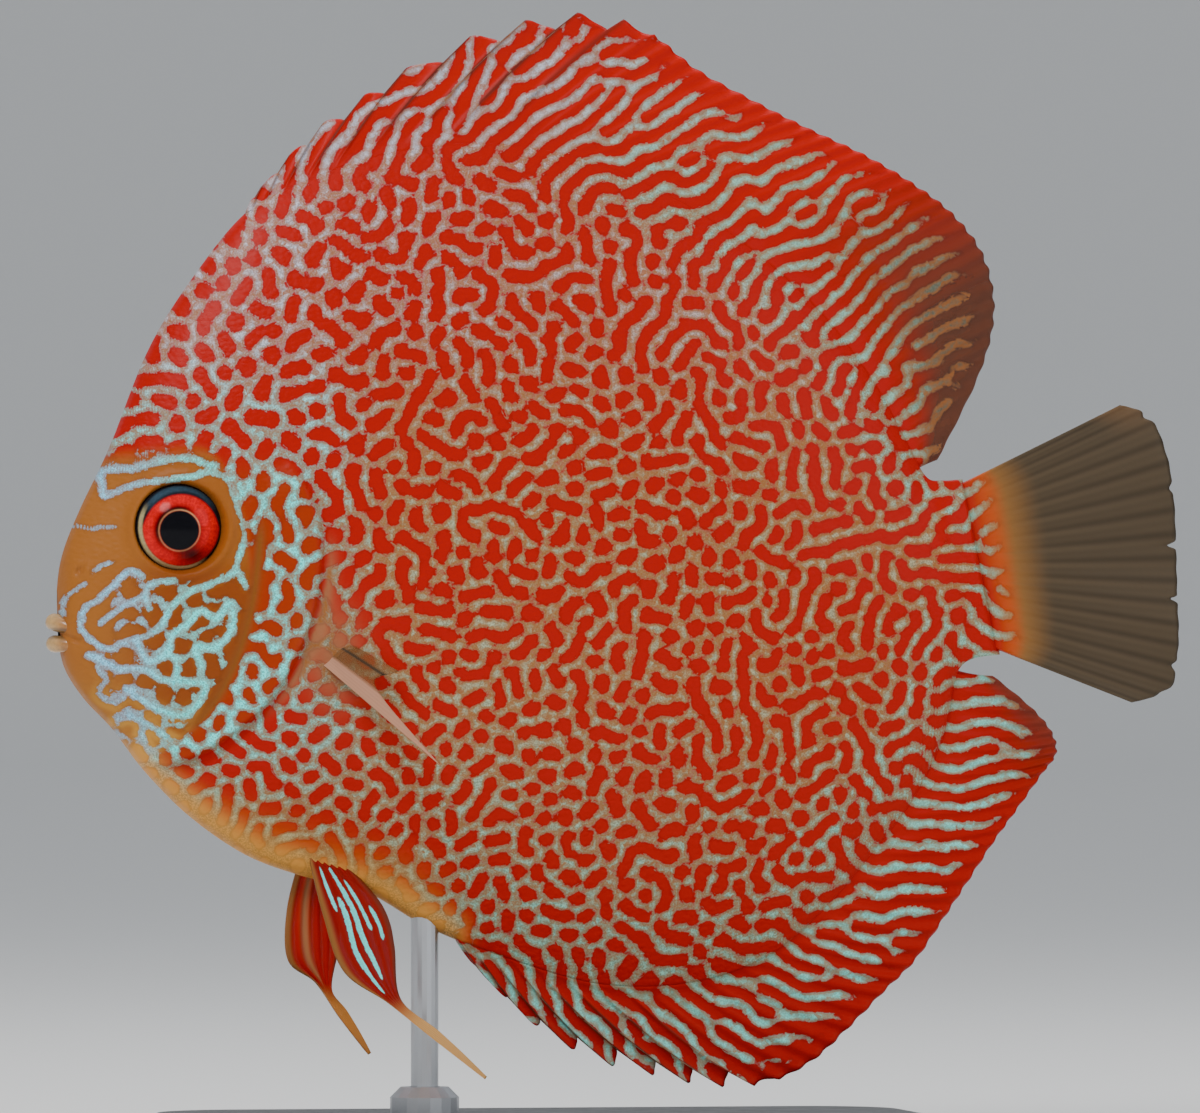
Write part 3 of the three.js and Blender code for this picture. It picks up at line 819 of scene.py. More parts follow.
class Graph:
    """A small hand for building shader nodes in one tree."""

    def __init__(self, tree: bpy.types.NodeTree) -> None:
        """Starts on a tree."""
        self.tree = tree
        self.count = 0

    def node(self, kind: str, inputs: dict | None = None, **settings: object) -> bpy.types.Node:
        """Adds a node.

        Args:
            kind: its type's name.
            inputs: values or sockets for its inputs, by name or number.
            settings: its properties.

        Returns:
            The node.
        """
        made = self.tree.nodes.new(kind)
        made.location = (self.count % 8 * 190, -(self.count // 8) * 260)
        self.count += 1
        for key, value in settings.items():
            setattr(made, key, value)
        for key, value in (inputs or {}).items():
            self.feed(made.inputs[key], value)
        return made

    def feed(self, socket: Socket, value: Fed) -> None:
        """Links a socket to an input, or sets the input to a plain value.

        Args:
            socket: the input.
            value: the socket or plain value that it gets.
        """
        if isinstance(value, Socket):
            self.tree.links.new(value, socket)
        else:
            socket.default_value = value

    def math(self, operation: str, a: Fed, b: Fed = 0.0, c: Fed = 0.0) -> Socket:
        """One step of arithmetic on values or sockets."""
        return self.node("ShaderNodeMath", {0: a, 1: b, 2: c}, operation=operation).outputs[0]

    def scaled(self, colour: Fed, level: Fed) -> Socket:
        """A colour times a level."""
        inputs = {0: colour, "Scale": level}
        return self.node("ShaderNodeVectorMath", inputs, operation="SCALE").outputs[0]

    def ramp(
        self, value: Fed, low: float, high: float, to_low: float = 0.0, to_high: float = 1.0
    ) -> Socket:
        """A value carried smoothly from one range to another and held outside it."""
        inputs = {"Value": value, "From Min": low, "From Max": high, "To Min": to_low, "To Max": to_high}
        return self.node("ShaderNodeMapRange", inputs, interpolation_type="SMOOTHSTEP").outputs[0]

    def mix(self, share: Fed, a: Fed, b: Fed) -> Socket:
        """Two colours mixed by a share.

        Args:
            share: share of the second colour.
            a, b: the colours.

        Returns:
            The mixed colour.
        """
        made = self.node("ShaderNodeMix", data_type="RGBA", blend_type="MIX")
        for index, value in ((0, share), (6, a), (7, b)):
            self.feed(made.inputs[index], value)
        return made.outputs[2]

    def noise(
        self, scale: float, detail: float, place: Socket | None = None, **more: float
    ) -> Socket:
        """Noise on the object's own coordinates, or on a given place."""
        at = self.place() if place is None else place
        inputs = {"Vector": at, "Scale": scale, "Detail": detail, **more}
        return self.node("ShaderNodeTexNoise", inputs).outputs["Fac"]

    def read(self, name: str) -> bpy.types.Node:
        """An attribute of the mesh."""
        return self.node("ShaderNodeAttribute", attribute_name=name)

    def place(self) -> Socket:
        """The object's own coordinates, in metres."""
        return self.node("ShaderNodeTexCoord").outputs["Object"]

    def link(self, a: Socket, b: Socket) -> None:
        """Joins two sockets."""
        self.tree.links.new(a, b)


def group(
    name: str,
    inputs: list[tuple[str, str]],
    outputs: list[tuple[str, str]],
    build: Callable[[Graph, bpy.types.NodeInputs], Sockets],
) -> bpy.types.NodeTree:
    """A shader node group.

    Args:
        name: its name.
        inputs, outputs: name and socket type of each.
        build: called with the graph and the input sockets by name; gives the output sockets by name.

    Returns:
        The group's tree.
    """
    tree = bpy.data.node_groups.new(name, "ShaderNodeTree")
    for label, kind in inputs:
        tree.interface.new_socket(label, in_out="INPUT", socket_type=kind)
    for label, kind in outputs:
        tree.interface.new_socket(label, in_out="OUTPUT", socket_type=kind)
    graph = Graph(tree)
    entry = graph.node("NodeGroupInput")
    leave = graph.node("NodeGroupOutput")
    for label, socket in build(graph, entry.outputs).items():
        graph.link(socket, leave.inputs[label])
    return tree


# Small scales: their count per metre, how unevenly they lie, and how the side view is stretched for them
SCALE_COUNT = 1050.0
SCALE_UNEVEN = 0.8
SCALE_STRETCH = (1.0, 0.02, 1.25)


def scale_cells(graph: Graph, place: Socket) -> bpy.types.Node:
    """The cells of the small scales.

    The place has its depth pressed flat, so that the cells run straight through both flanks.

    Args:
        graph: the tree's hand.
        place: the object's coordinates.

    Returns:
        The node that gives each cell's own colour and the distance from its middle.
    """
    flat = graph.node("ShaderNodeVectorMath", {0: place, 1: SCALE_STRETCH}, operation="MULTIPLY").outputs[0]
    inputs = {"Vector": flat, "Scale": SCALE_COUNT, "Randomness": SCALE_UNEVEN}
    return graph.node("ShaderNodeTexVoronoi", inputs)


def build_marking(graph: Graph, given: bpy.types.NodeInputs) -> Sockets:
    """Red cores, an ochre fringe round them and a grainy pale net, by the mark's height.

    The edges follow the small scales: each scale shifts the height by an amount of its own.

    Args:
        graph: the group's hand.
        given: the group's inputs.

    Returns:
        The group's outputs by name.
    """
    place = graph.place()
    scale = scale_cells(graph, place)
    own = graph.node("ShaderNodeSeparateColor", {0: scale.outputs["Color"]}).outputs[0]
    wobble = graph.noise(1100.0, 3.0, place, Roughness=0.65)
    fine = graph.noise(4200.0, 1.0, place, Roughness=0.5)
    by_scale = graph.math("MULTIPLY", graph.math("SUBTRACT", own, 0.5), 0.4)
    by_noise = graph.math("MULTIPLY", graph.math("SUBTRACT", wobble, 0.5), 0.6)
    height = graph.math("ADD", given["Mark"], graph.math("ADD", by_scale, by_noise))
    core = graph.ramp(height, -0.14, 0.24)
    # The fringe is strongest a little below the edge and fades evenly to both sides
    from_fringe = graph.math("ABSOLUTE", graph.math("ADD", height, 0.15))
    near = graph.math("SUBTRACT", 1.0, graph.math("DIVIDE", from_fringe, 0.48))
    fringe = graph.math("MULTIPLY", graph.math("MAXIMUM", near, 0.0), given["Fringe"])
    speck = graph.ramp(fine, 0.3, 0.72, 0.6, 1.3)
    by_grain = graph.math("MULTIPLY", graph.math("SUBTRACT", speck, 1.0), given["Grain"])
    light = graph.scaled(given["Pale"], graph.math("ADD", 1.0, by_grain))
    edge = graph.mix(fringe, light, (*Tint.FRINGE.value, 1.0))
    strong = graph.scaled(given["Core"], graph.ramp(height, 0.1, 0.7, 0.84, 1.06))
    not_core = graph.math("SUBTRACT", 1.0, core)
    return {
        "Color": graph.mix(core, edge, strong),
        "Sparkle": graph.math("MULTIPLY", not_core, graph.ramp(fine, 0.5, 0.75)),
    }


def build_scales(graph: Graph, given: bpy.types.NodeInputs) -> Sockets:
    """Height of the small scales, low and soft, from their cells and a fine grain.

    Args:
        graph: the group's hand.
        given: the group's inputs, of which there are none; not used.

    Returns:
        The group's output by name.
    """
    place = graph.place()
    cells = scale_cells(graph, place)
    grain = graph.noise(2600.0, 2.0, place)
    domes = graph.ramp(cells.outputs["Distance"], 0.0, 0.75, 1.0, 0.0)
    return {"Height": graph.math("MULTIPLY_ADD", grain, 0.35, domes)}


@dataclass
class Shaders:
    """The node groups that the fish's materials share."""

    marking: bpy.types.NodeTree
    scales: bpy.types.NodeTree


def make_shaders() -> Shaders:
    """Makes the shared groups.

    Returns:
        The groups.
    """
    values = [(label, "NodeSocketFloat") for label in ("Mark", "Fringe", "Grain")]
    colours = [(label, "NodeSocketColor") for label in ("Core", "Pale")]
    results = [("Color", "NodeSocketColor"), ("Sparkle", "NodeSocketFloat")]
    marking = group("Marking", values + colours, results, build_marking)
    scales = group("Scale rows", [], [("Height", "NodeSocketFloat")], build_scales)
    return Shaders(marking, scales)


@dataclass(frozen=True)
class Finish:
    """How a surface answers light, beyond its colour."""

    roughness: float
    coat: float = 0.0
    coat_roughness: float = 0.1
    metallic: float = 0.0
    bump: float = 0.0
    specular: float = 0.5


def surface(name: str, finish: Finish) -> tuple[bpy.types.Material, Graph, bpy.types.Node]:
    """A new material with its main shader set to a finish.

    Args:
        name: its name.
        finish: how it answers light.

    Returns:
        The material, its tree's hand and its main shader.
    """
    material = bpy.data.materials.new(name)
    material.use_nodes = True
    graph = Graph(material.node_tree)
    graph.tree.nodes.clear()
    shader = graph.node("ShaderNodeBsdfPrincipled")
    output = graph.node("ShaderNodeOutputMaterial")
    graph.link(shader.outputs[0], output.inputs[0])
    for key, value in {
        "Roughness": finish.roughness,
        "Coat Weight": finish.coat,
        "Coat Roughness": finish.coat_roughness,
        "Metallic": finish.metallic,
        "Specular IOR Level": finish.specular,
    }.items():
        shader.inputs[key].default_value = value
    return material, graph, shader


BUMP_DISTANCE = 0.0002


def marked_material(name: str, shaders: Shaders, finish: Finish, see_through: bool) -> bpy.types.Material:
    """Skin or fin with the grown markings, coloured by the mesh's own attributes.

    Args:
        name: its name.
        shaders: the shared groups.
        finish: how it answers light.
        see_through: whether the attribute "solid" makes it clear.

    Returns:
        The material.
    """
    material, graph, shader = surface(name, finish)
    inputs = {label: graph.read(label.lower()).outputs["Fac"] for label in ("Mark", "Fringe", "Grain")}
    inputs |= {label: graph.read(label.lower()).outputs["Color"] for label in ("Core", "Pale")}
    marking = graph.node("ShaderNodeGroup", node_tree=shaders.marking)
    for label, socket in inputs.items():
        graph.link(socket, marking.inputs[label])
    graph.link(marking.outputs["Color"], shader.inputs["Base Color"])
    rough = graph.ramp(marking.outputs["Sparkle"], 0, 1, finish.roughness, finish.roughness * 0.6)
    graph.link(rough, shader.inputs["Roughness"])
    scales = graph.node("ShaderNodeGroup", node_tree=shaders.scales)
    raised = {"Strength": finish.bump, "Distance": BUMP_DISTANCE, "Height": scales.outputs["Height"]}
    graph.link(graph.node("ShaderNodeBump", raised).outputs[0], shader.inputs["Normal"])
    if see_through:
        graph.link(graph.read("solid").outputs["Fac"], shader.inputs["Alpha"])
    return material


def plain_material(
    name: str, colour: Colour, finish: Finish, grain: float = 0.0, scale: float = 400.0
) -> bpy.types.Material:
    """One colour with a soft uneven grain in colour and roughness.

    Args:
        name: its name.
        colour: its colour, as linear light.
        finish: how it answers light.
        grain: how far the colour varies.
        scale: how fine the grain is, per metre.

    Returns:
        The material.
    """
    material, graph, shader = surface(name, finish)
    noise = graph.noise(scale, 3.0)
    tinted = graph.scaled(colour, graph.ramp(noise, 0.3, 0.7, 1 - grain, 1 + grain))
    graph.link(tinted, shader.inputs["Base Color"])
    rough = graph.ramp(noise, 0.3, 0.7, finish.roughness * 0.9, finish.roughness * 1.1)
    graph.link(rough, shader.inputs["Roughness"])
    return material


def toned_material(name: str, finish: Finish, fineness: float, low: float, high: float) -> bpy.types.Material:
    """The mesh's own attribute "tone" as colour, with a fine uneven grain.

    Args:
        name: its name.
        finish: how it answers light.
        fineness: how fine the grain is, per metre.
        low, high: darkest and lightest level of the grain.

    Returns:
        The material.
    """
    material, graph, shader = surface(name, finish)
    level = graph.ramp(graph.noise(fineness, 3.0), 0.3, 0.7, low, high)
    tone = graph.read("tone").outputs["Color"]
    graph.link(graph.scaled(tone, level), shader.inputs["Base Color"])
    return material


# Body


@dataclass(frozen=True)
class Skin:
    """One skin over head, trunk, gill covers and tail stem.

    Its two flanks meet in round edges: near an edge the half thickness falls as a quarter circle.

    Attributes:
        columns, rows: its mesh along and up the fish.
        covered_edge: reach of the rounding where a fin stands on the edge, in millimetres.
        back_covered, belly_covered: X from which fins stand on the back and on the belly.
        snout_ahead, snout_round: how far ahead of the first rib the snout closes, and over which length.
        rear_closing: how steeply the rear end closes, per rib.
        edge_crowding, edge_reach: how much closer the rows lie at an edge, and over how many rows.
    """

    columns: int = 264
    rows: int = 188
    covered_edge: float = 0.12
    back_covered: float = -55
    belly_covered: float = -24
    snout_ahead: float = 0.2
    snout_round: float = 1.8
    rear_closing: float = 4
    edge_crowding: float = 0.9
    edge_reach: float = 5

    def rib_shares(self) -> Grid:
        """Shares along the fish whose ribs step evenly, but closer on the head and on the rear third.

        Returns:
            The rib shares, 0 to 1.
        """
        t = np.linspace(0, 1, 1201)
        back, belly = rib_ends(t)
        middle = (back + belly) / 2
        step = np.hypot(*np.diff(middle, axis=0).T) + 0.2 * np.hypot(*np.diff(back, axis=0).T)
        at = middle[1:, 0]
        step = step * (1 + 0.9 * smooth(-38, -52, at) + 0.8 * smooth(6, 32, at))
        length = np.concatenate([[0], np.cumsum(step)])
        return np.interp(np.linspace(0, length[-1], self.columns + 1), length, t)

    def up_shares(self) -> Grid:
        """Shares up the ribs that crowd close to both ends, where the skin turns over its edge.

        Returns:
            The shares, 0 at the belly and 1 at the back.
        """
        from_end = np.minimum(np.arange(self.rows), np.arange(self.rows)[::-1])
        step = 1 - self.edge_crowding * np.exp(-from_end / self.edge_reach)
        place = np.concatenate([[0], np.cumsum(step)])
        return place / place[-1]

    def shape(self) -> tuple[Grid, Grid, Grid]:
        """Form of the skin.

        The rounding is the root of s times 2 less s, where s is the share of the way in from an edge.

        Returns:
            X, Z and the half thickness of its points, columns by rows.
        """
        t, v = np.broadcast_arrays(self.rib_shares()[:, None], self.up_shares()[None, :])
        back, belly = rib_ends(t)
        span = back - belly
        points = belly + span * v[..., None]
        x, z = points[..., 0], points[..., 1]
        length = np.hypot(span[..., 0], span[..., 1])
        edge = np.where(v > 0.5, along(RIBS["back_edge"], t), along(RIBS["belly_edge"], t))
        covered = ((v > 0.5) & (x > self.back_covered)) | ((v <= 0.5) & (x > self.belly_covered))
        edge = np.where(covered, self.covered_edge, edge)
        to_edge = np.clip(np.minimum(v, 1 - v) * length / edge, 0, 1)
        tip = (RIBS["back_x"][0] + RIBS["belly_x"][0]) / 2
        snout = np.clip((x - tip + self.snout_ahead) / self.snout_round, 0, 1)
        rear = np.clip((1 - t) * (len(RIBS["back_x"]) - 1) * self.rear_closing, 0, 1)
        round_off = np.sqrt(to_edge * (2 - to_edge)) * np.sqrt(snout * (2 - snout)) * rear
        return x, z, (body_half(t, v) + RELIEF.height(x, z) * smooth(0, 1, to_edge)) * round_off

    def colours(self, x: Grid, z: Grid, markings: Markings) -> dict[str, Grid]:
        """Attributes of the skin from its zones.

        Args:
            x, z: points of the side view.
            markings: the markings of this side.

        Returns:
            The attributes by name.
        """
        zones = Zones(x, z)
        gap = markings.face_gap(x, z)
        chin = zones.face * smooth(70, 60, z + 0.3 * (x + 70))
        cheek = zones.face * smooth(-0.1, 0.5, gap) * smooth(-79, -73, x) * smooth(88, 83, z)
        plain = np.clip(zones.bare + zones.socket, 0, 1)
        core = flat_colour(Tint.RED, x.shape)
        for tint, share in (
            (Tint.BROWN_RED, zones.cover),
            (Tint.OCHRE, zones.face),
            (Tint.CHEEK, cheek),
            (Tint.SNOUT, zones.face * smooth(-66, -76, x) * 0.7),
            (Tint.YELLOW, chin * (0.85 - 0.6 * smooth(0.4, 1.2, gap))),
            (Tint.ORANGE, zones.throat * (0.3 + 0.6 * zones.keel)),
            (Tint.PEACH, zones.keel * 0.9),
            (Tint.DARK_OCHRE, zones.groove),
            (Tint.DUN, plain * 0.75),
        ):
            core = blend_colours(core, tint, share)
        pale = pale_colour(zones)
        for tint, share in (
            (Tint.ICE, zones.face * smooth(-64, -74, x) * 0.8),
            (Tint.YELLOW, zones.throat * 0.75),
            (Tint.PEACH, zones.keel * 0.9),
            (Tint.DUN, plain * 0.9),
        ):
            pale = blend_colours(pale, tint, share)
        fringe = np.clip(0.87 + 0.05 * zones.rear - 0.1 * zones.fin_side - 0.3 * zones.face, 0, 1)
        return {
            "mark": markings.at(x, z),
            "core": core,
            "pale": pale,
            "fringe": fringe * (1 - zones.keel),
            "grain": np.clip(1 - 0.6 * zones.bare - 0.5 * zones.throat, 0, 1),
        }

    def build(self, markings: dict[Side, Markings], material: bpy.types.Material) -> bpy.types.Object:
        """Makes the skin.

        Args:
            markings: the markings of each side.
            material: its material.

        Returns:
            The piece.
        """
        x, z, half = self.shape()
        left, right = (np.stack([x, side.value * half + bend(x), z], -1) for side in Side)
        made = {side: self.colours(x, z, markings[side]) for side in Side}
        skin = ring_mesh("skin", left, right, both_sides(made))
        skin.data.materials.append(material)
        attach(skin, "root")
        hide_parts("head", "trunk", "tail_stem", "gill_cover_left", "gill_cover_right")
        return skin


# Fins of the median plane


def share_grid(columns: int, rows: int) -> tuple[Grid, Grid]:
    """Shares along and out over a sheet, each columns by rows."""
    return tuple(np.meshgrid(np.linspace(0, 1, columns), np.linspace(0, 1, rows), indexing="ij"))


def ray_crest(share: Grid, rays: float = 1) -> Grid:
    """0 between rays and 1 on each ray's crest, as half of one less a cosine."""
    return 0.5 - 0.5 * np.cos(2 * np.pi * rays * share)


def closed(from_edge: Grid, steepness: float) -> Grid:
    """0 at an edge and 1 away from it, rising as a square root."""
    return np.sqrt(np.clip(from_edge * steepness, 0, 1))


class FinLook(Enum):
    """How a fin of the median plane is coloured."""

    # Lighter outwards on the dorsal fin and darker outwards on the anal fin are painted light and shade:
    # lighter on top, darker below
    UPPER = "red and pale stripes, pearly and lighter outwards"
    LOWER = "red and pale stripes, bluer and darker outwards"
    SMOKY = "a smoky film with darker rays"


@dataclass(frozen=True)
class MedianFin:
    """A fin that stands on the back, the belly or the tail.

    Attributes:
        name: name of the piece.
        nodes: solids it stands for.
        look: how it is coloured.
        root, edge: paired points of its root line and free edge.
        spines, rays: counts of stiff spines at its front and of soft rays behind them.
        spiny: share of its length that the spines take.
        notch: how deep the edge falls between spines, at the fin's front and at the last spine.
        bow: sideways curve of its rays in the side view, as a share of their length.
        columns, rows: its mesh.
        ripple: how far it waves out of the median plane.
        flutter: how far it leans to and fro between its rays.
        ray_rise: how far its rays stand out.
        scallop: how deep its edge falls between soft rays, as a share of their length.
        rake: how far its rays lean back, as a share of the fin's length.
        tears: share of the length, depth and width of small tears in its free edge.
        film: half thickness between the rays.
        spine_rise: how much further spines stand out than soft rays.
        root_sink: how far its root reaches into the body, as a share of its rays.
        root_flare, flare_reach: how much thicker it is at its root, and how far out that is felt.
    """

    name: str
    nodes: tuple[str, ...]
    look: FinLook
    root: Sequence
    edge: Sequence
    spines: int
    rays: int
    spiny: float
    notch: tuple[float, float]
    bow: float
    columns: int
    rows: int
    ripple: float
    flutter: float = 0.2
    ray_rise: float = 0.2
    scallop: float = 0.012
    rake: float = 0.0
    tears: tuple[tuple[float, float, float], ...] = ()
    film: float = 0.22
    spine_rise: float = 0.3
    root_sink: float = 0.04
    root_flare: float = 1.07
    flare_reach: float = 2.6

    def phase(self, share: Grid) -> Grid:
        """Count of spines and rays passed.

        Args:
            share: shares of the fin's length.

        Returns:
            The count, with the part of the next one.
        """
        ahead = self.spines * np.clip(share / max(self.spiny, 1e-6), 0, 1) if self.spines else 0 * share
        behind = self.rays * np.clip((share - self.spiny) / (1 - self.spiny), 0, 1)
        return ahead + behind

    def spine_share(self, share: Grid, blend: float) -> Grid:
        """1 among the spines and 0 among the soft rays, changing over a share to each side."""
        return smooth(self.spiny + blend, self.spiny - blend, share) if self.spines else 0 * share

    def plan(self, share: Grid, w: Grid) -> tuple[Grid, Grid, Grid, Grid]:
        """Side view of the fin.

        A ray runs from root to edge with a bow of four times w times one less w. The edge falls
        behind each spine as a saw tooth to the power of 1.4, and between soft rays as a cosine.

        Args:
            share: shares of the fin's length.
            w: shares of the way out along the rays, below zero inside the body.

        Returns:
            X, Z, length of the ray there and how near a ray's crest it is.
        """
        crest = ray_crest(self.phase(share))
        root = along(self.root, share - self.rake * np.sin(np.pi * np.clip(share / 0.8, 0, 1)))
        edge = along(self.edge, share)
        across = edge - root
        length = np.hypot(across[..., 0], across[..., 1])
        saw = np.mod(self.phase(share) + 0.5, 1.0)
        in_spines = self.spine_share(share, 0.02)
        ahead = np.clip(1 - share / max(self.spiny, 1e-6), 0, 1)
        notch = self.notch[1] + (self.notch[0] - self.notch[1]) * ahead
        reach = 1 - notch * in_spines * saw**1.4 - self.scallop * (1 - crest)
        for place, depth, width in self.tears:
            reach = reach - depth * bell(share - place, width)
        w = w * reach
        bow = self.bow * length * 4 * w * (1 - w)
        x = root[..., 0] + across[..., 0] * w - across[..., 1] / length * bow
        z = root[..., 1] + across[..., 1] * w + across[..., 0] / length * bow
        return x, z, length, crest

    def ray_field(self, strength: float) -> RayField:
        """Ray directions for the markings, over the fin and half a ray's length into the body.

        Args:
            strength: how strongly stripes follow them on the fin; it fades out inside the body.

        Returns:
            The directions.
        """
        share, w = np.meshgrid(np.linspace(0, 1, 900), np.linspace(-0.5, 1, 240), indexing="ij")
        x, z, _, _ = self.plan(share, w)
        dx, dz = np.gradient(x, axis=1), np.gradient(z, axis=1)
        size = np.hypot(dx, dz) + 1e-9
        return RayField(x, z, dx / size, dz / size, strength * smooth(-0.5, 0.05, w))

    def half_thickness(self, share: Grid, w: Grid, sunk: Grid, length: Grid, crest: Grid) -> Grid:
        """Half thickness: a film with raised rays, and a root flare that fades as an exponential.

        Args:
            share, w: shares of the fin's length and of the way out.
            sunk: the way out with the root set into the body.
            length: length of the rays.
            crest: how near a ray's crest it is.

        Returns:
            The half thickness in millimetres.
        """
        spine = self.spine_share(share, 0.01)
        rise = (self.ray_rise + self.spine_rise * spine) * crest ** (2 + 6 * spine) * (1 - 0.75 * w)
        flare = self.root_flare * np.exp(-np.clip(sunk, 0, 1) * length / self.flare_reach)
        half = self.film + rise * smooth(0, 0.25, w) + flare
        return half * closed(1 - w, 26) * closed(np.minimum(share, 1 - share), 90)

    def striped(self, share: Grid, w: Grid, x: Grid, z: Grid, markings: Markings) -> dict[str, Grid]:
        """Attributes of the dorsal or anal fin: red and pale stripes, dark spines, a smoky rear edge.

        Args:
            share, w: shares of the fin's length and of the way out.
            x, z: its side view.
            markings: the markings of this side.

        Returns:
            The attributes by name.
        """
        upper = self.look is FinLook.UPPER
        spiny = smooth(self.spiny + 0.03, self.spiny - 0.05, share)
        soft = smooth(self.spiny - 0.08, self.spiny + 0.06, share)
        margin = smooth(0.72, 1.0, w) * soft + 0.3 * smooth(0.9, 1.0, w) * spiny
        out = smooth(0.0, 0.5, w)
        pale = pale_colour(Zones(x, z))
        # Painted light and shade: the red grows up to 12% lighter outwards on the dorsal fin, towards the
        # top, and up to 14% darker outwards on the anal fin, towards the bottom
        if upper:
            rear = smooth(0.66, 0.88, share) * smooth(0.02, 0.6, w)
            painted_light_level = 1 + 0.12 * out
            pale = blend_colours(pale, Tint.PEARL, smooth(0.66, 0.3, share) * (0.3 + 0.6 * out))
        else:
            rear = 0.75 * smooth(0.7, 0.95, share) * smooth(0.45, 1.0, w)
            painted_light_level = 1 - 0.14 * out
            pale = blend_colours(pale, Tint.TURQUOISE, 0.35 * out)
        core = blend_colours(flat_colour(Tint.RED, x.shape) * painted_light_level[..., None], Tint.UMBER, rear)
        pale = blend_colours(pale, Tint.HAZE, rear * 0.9)
        line = spiny * ray_crest(self.phase(share)) ** 14 * smooth(0.1, 0.4, w)
        return {
            "mark": markings.at(x, z) * (1 - 0.2 * rear) + 1.1 * margin,
            "core": blend_colours(core, Tint.SMOKE, line * 0.75),
            "pale": blend_colours(pale, Tint.SMOKE, line * 0.75),
            "fringe": 0.8 + 0.1 * rear,
            "grain": np.full(x.shape, 0.6),
            "solid": np.clip(1 - 0.18 * rear, 0, 1),
        }

    def smoky(self, share: Grid, w: Grid, x: Grid, z: Grid, markings: Markings) -> dict[str, Grid]:
        """Attributes of the tail fin: smoky, with darker rays, amber at its base, marked only at its root.

        A ray's darkness is half less 0.3 of a cosine and 0.2 of its double, which splits it in two.

        Args:
            share, w: shares of the fin's length and of the way out.
            x, z: its side view.
            markings: the markings of this side.

        Returns:
            The attributes by name.
        """
        turn = 2 * np.pi * self.phase(share)
        ray = 0.5 - 0.3 * np.cos(turn) - 0.2 * np.cos(2 * turn + 3 * w)
        smoky = smooth(0.06, 0.2, w)
        core = flat_colour(Tint.RED, x.shape)
        core = blend_colours(core, Tint.ORANGE, smooth(0.0, 0.12, w) * 0.35)
        core = blend_colours(core, Tint.AMBER, smooth(0.1, 0.2, w))
        film = blend_colours(flat_colour(Tint.HAZE, x.shape), Tint.SMOKE, 0.15 + 0.55 * ray)
        film = blend_colours(film, Tint.SAND, 0.22 * smooth(0.75, 0.95, w) * smooth(0.2, 0.0, share))
        hazy = smooth(0.12, 0.36, w)[..., None]
        return {
            "mark": markings.at(x, z) * (1 - smoky) + smoky,
            "core": core * (1 - hazy) + film * hazy,
            "pale": blend_colours(pale_colour(Zones(x, z)), Tint.SAND, smooth(0.0, 0.15, w)),
            "fringe": 0.7 * (1 - smoky),
            "grain": np.full(x.shape, 0.5),
            "solid": np.clip(1 - 0.12 * smooth(0.1, 0.6, w) + 0.06 * ray, 0, 1),
        }

    def build(self, markings: dict[Side, Markings], material: bpy.types.Material) -> bpy.types.Object:
        """Makes the fin as one thin closed sheet with raised rays.

        It waves out of the median plane as a sine of its length that grows with the square of w,
        and leans to and fro once per ray.

        Args:
            markings: the markings of each side.
            material: its material.

        Returns:
            The piece.
        """
        share, w = share_grid(self.columns + 1, self.rows + 1)
        sunk = w - self.root_sink * (1 - w) ** 6
        x, z, length, crest = self.plan(share, sunk)
        half = self.half_thickness(share, w, sunk, length, crest)
        wave = self.ripple * w**2 * np.sin(share * np.pi * 5)
        middle = bend(x) + (wave + self.flutter * w**1.5 * np.sin(2 * np.pi * self.phase(share) + 1.2))
        left, right = (np.stack([x, middle + side.value * half, z], -1) for side in Side)
        smoky = self.look is FinLook.SMOKY
        colours = self.smoky if smoky else self.striped
        made = {side: colours(share, w, x, z, markings[side]) for side in Side}
        piece = ring_mesh(self.name, left, right, both_sides(made))
        piece.data.materials.append(material)
        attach(piece, "root")
        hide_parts(*self.nodes)
        return piece


DORSAL = MedianFin(
    name="dorsal_fin",
    nodes=("dorsal_fin_spines", "dorsal_fin_rays"),
    look=FinLook.UPPER,
    root=[
        (-54.8, 136.9), (-52.6, 138.2), (-49.2, 140.1), (-44.7, 142.1), (-39.6, 144.1), (-33, 145.9),
        (-26.3, 146.9), (-19, 147.2), (-13.1, 146.6), (-6.5, 145.1), (0.9, 142.7), (8.2, 139),
        (15.6, 134.6), (22.2, 129.8), (28.4, 124.3), (33.7, 118.2), (37.7, 112.4), (40.9, 106.6),
        (44.6, 100),
    ],
    edge=[
        (-53.9, 138.9), (-50, 143.4), (-44.6, 148.9), (-38.1, 153.5), (-31.1, 158), (-20.8, 163),
        (-11.6, 165.3), (-3.2, 166), (4.6, 163.4), (11.9, 157.9), (20.8, 153.1), (28.4, 149.3),
        (36.2, 145.7), (43.6, 141.5), (49.9, 136.9), (54.6, 130.8), (56.2, 122.8), (53.9, 113.8),
        (47.4, 101.2),
    ],
    spines=9,
    rays=31,
    spiny=0.44,
    notch=(0.45, 0.08),
    rake=0.03,
    bow=0.02,
    columns=440,
    rows=60,
    ripple=0.9,
)
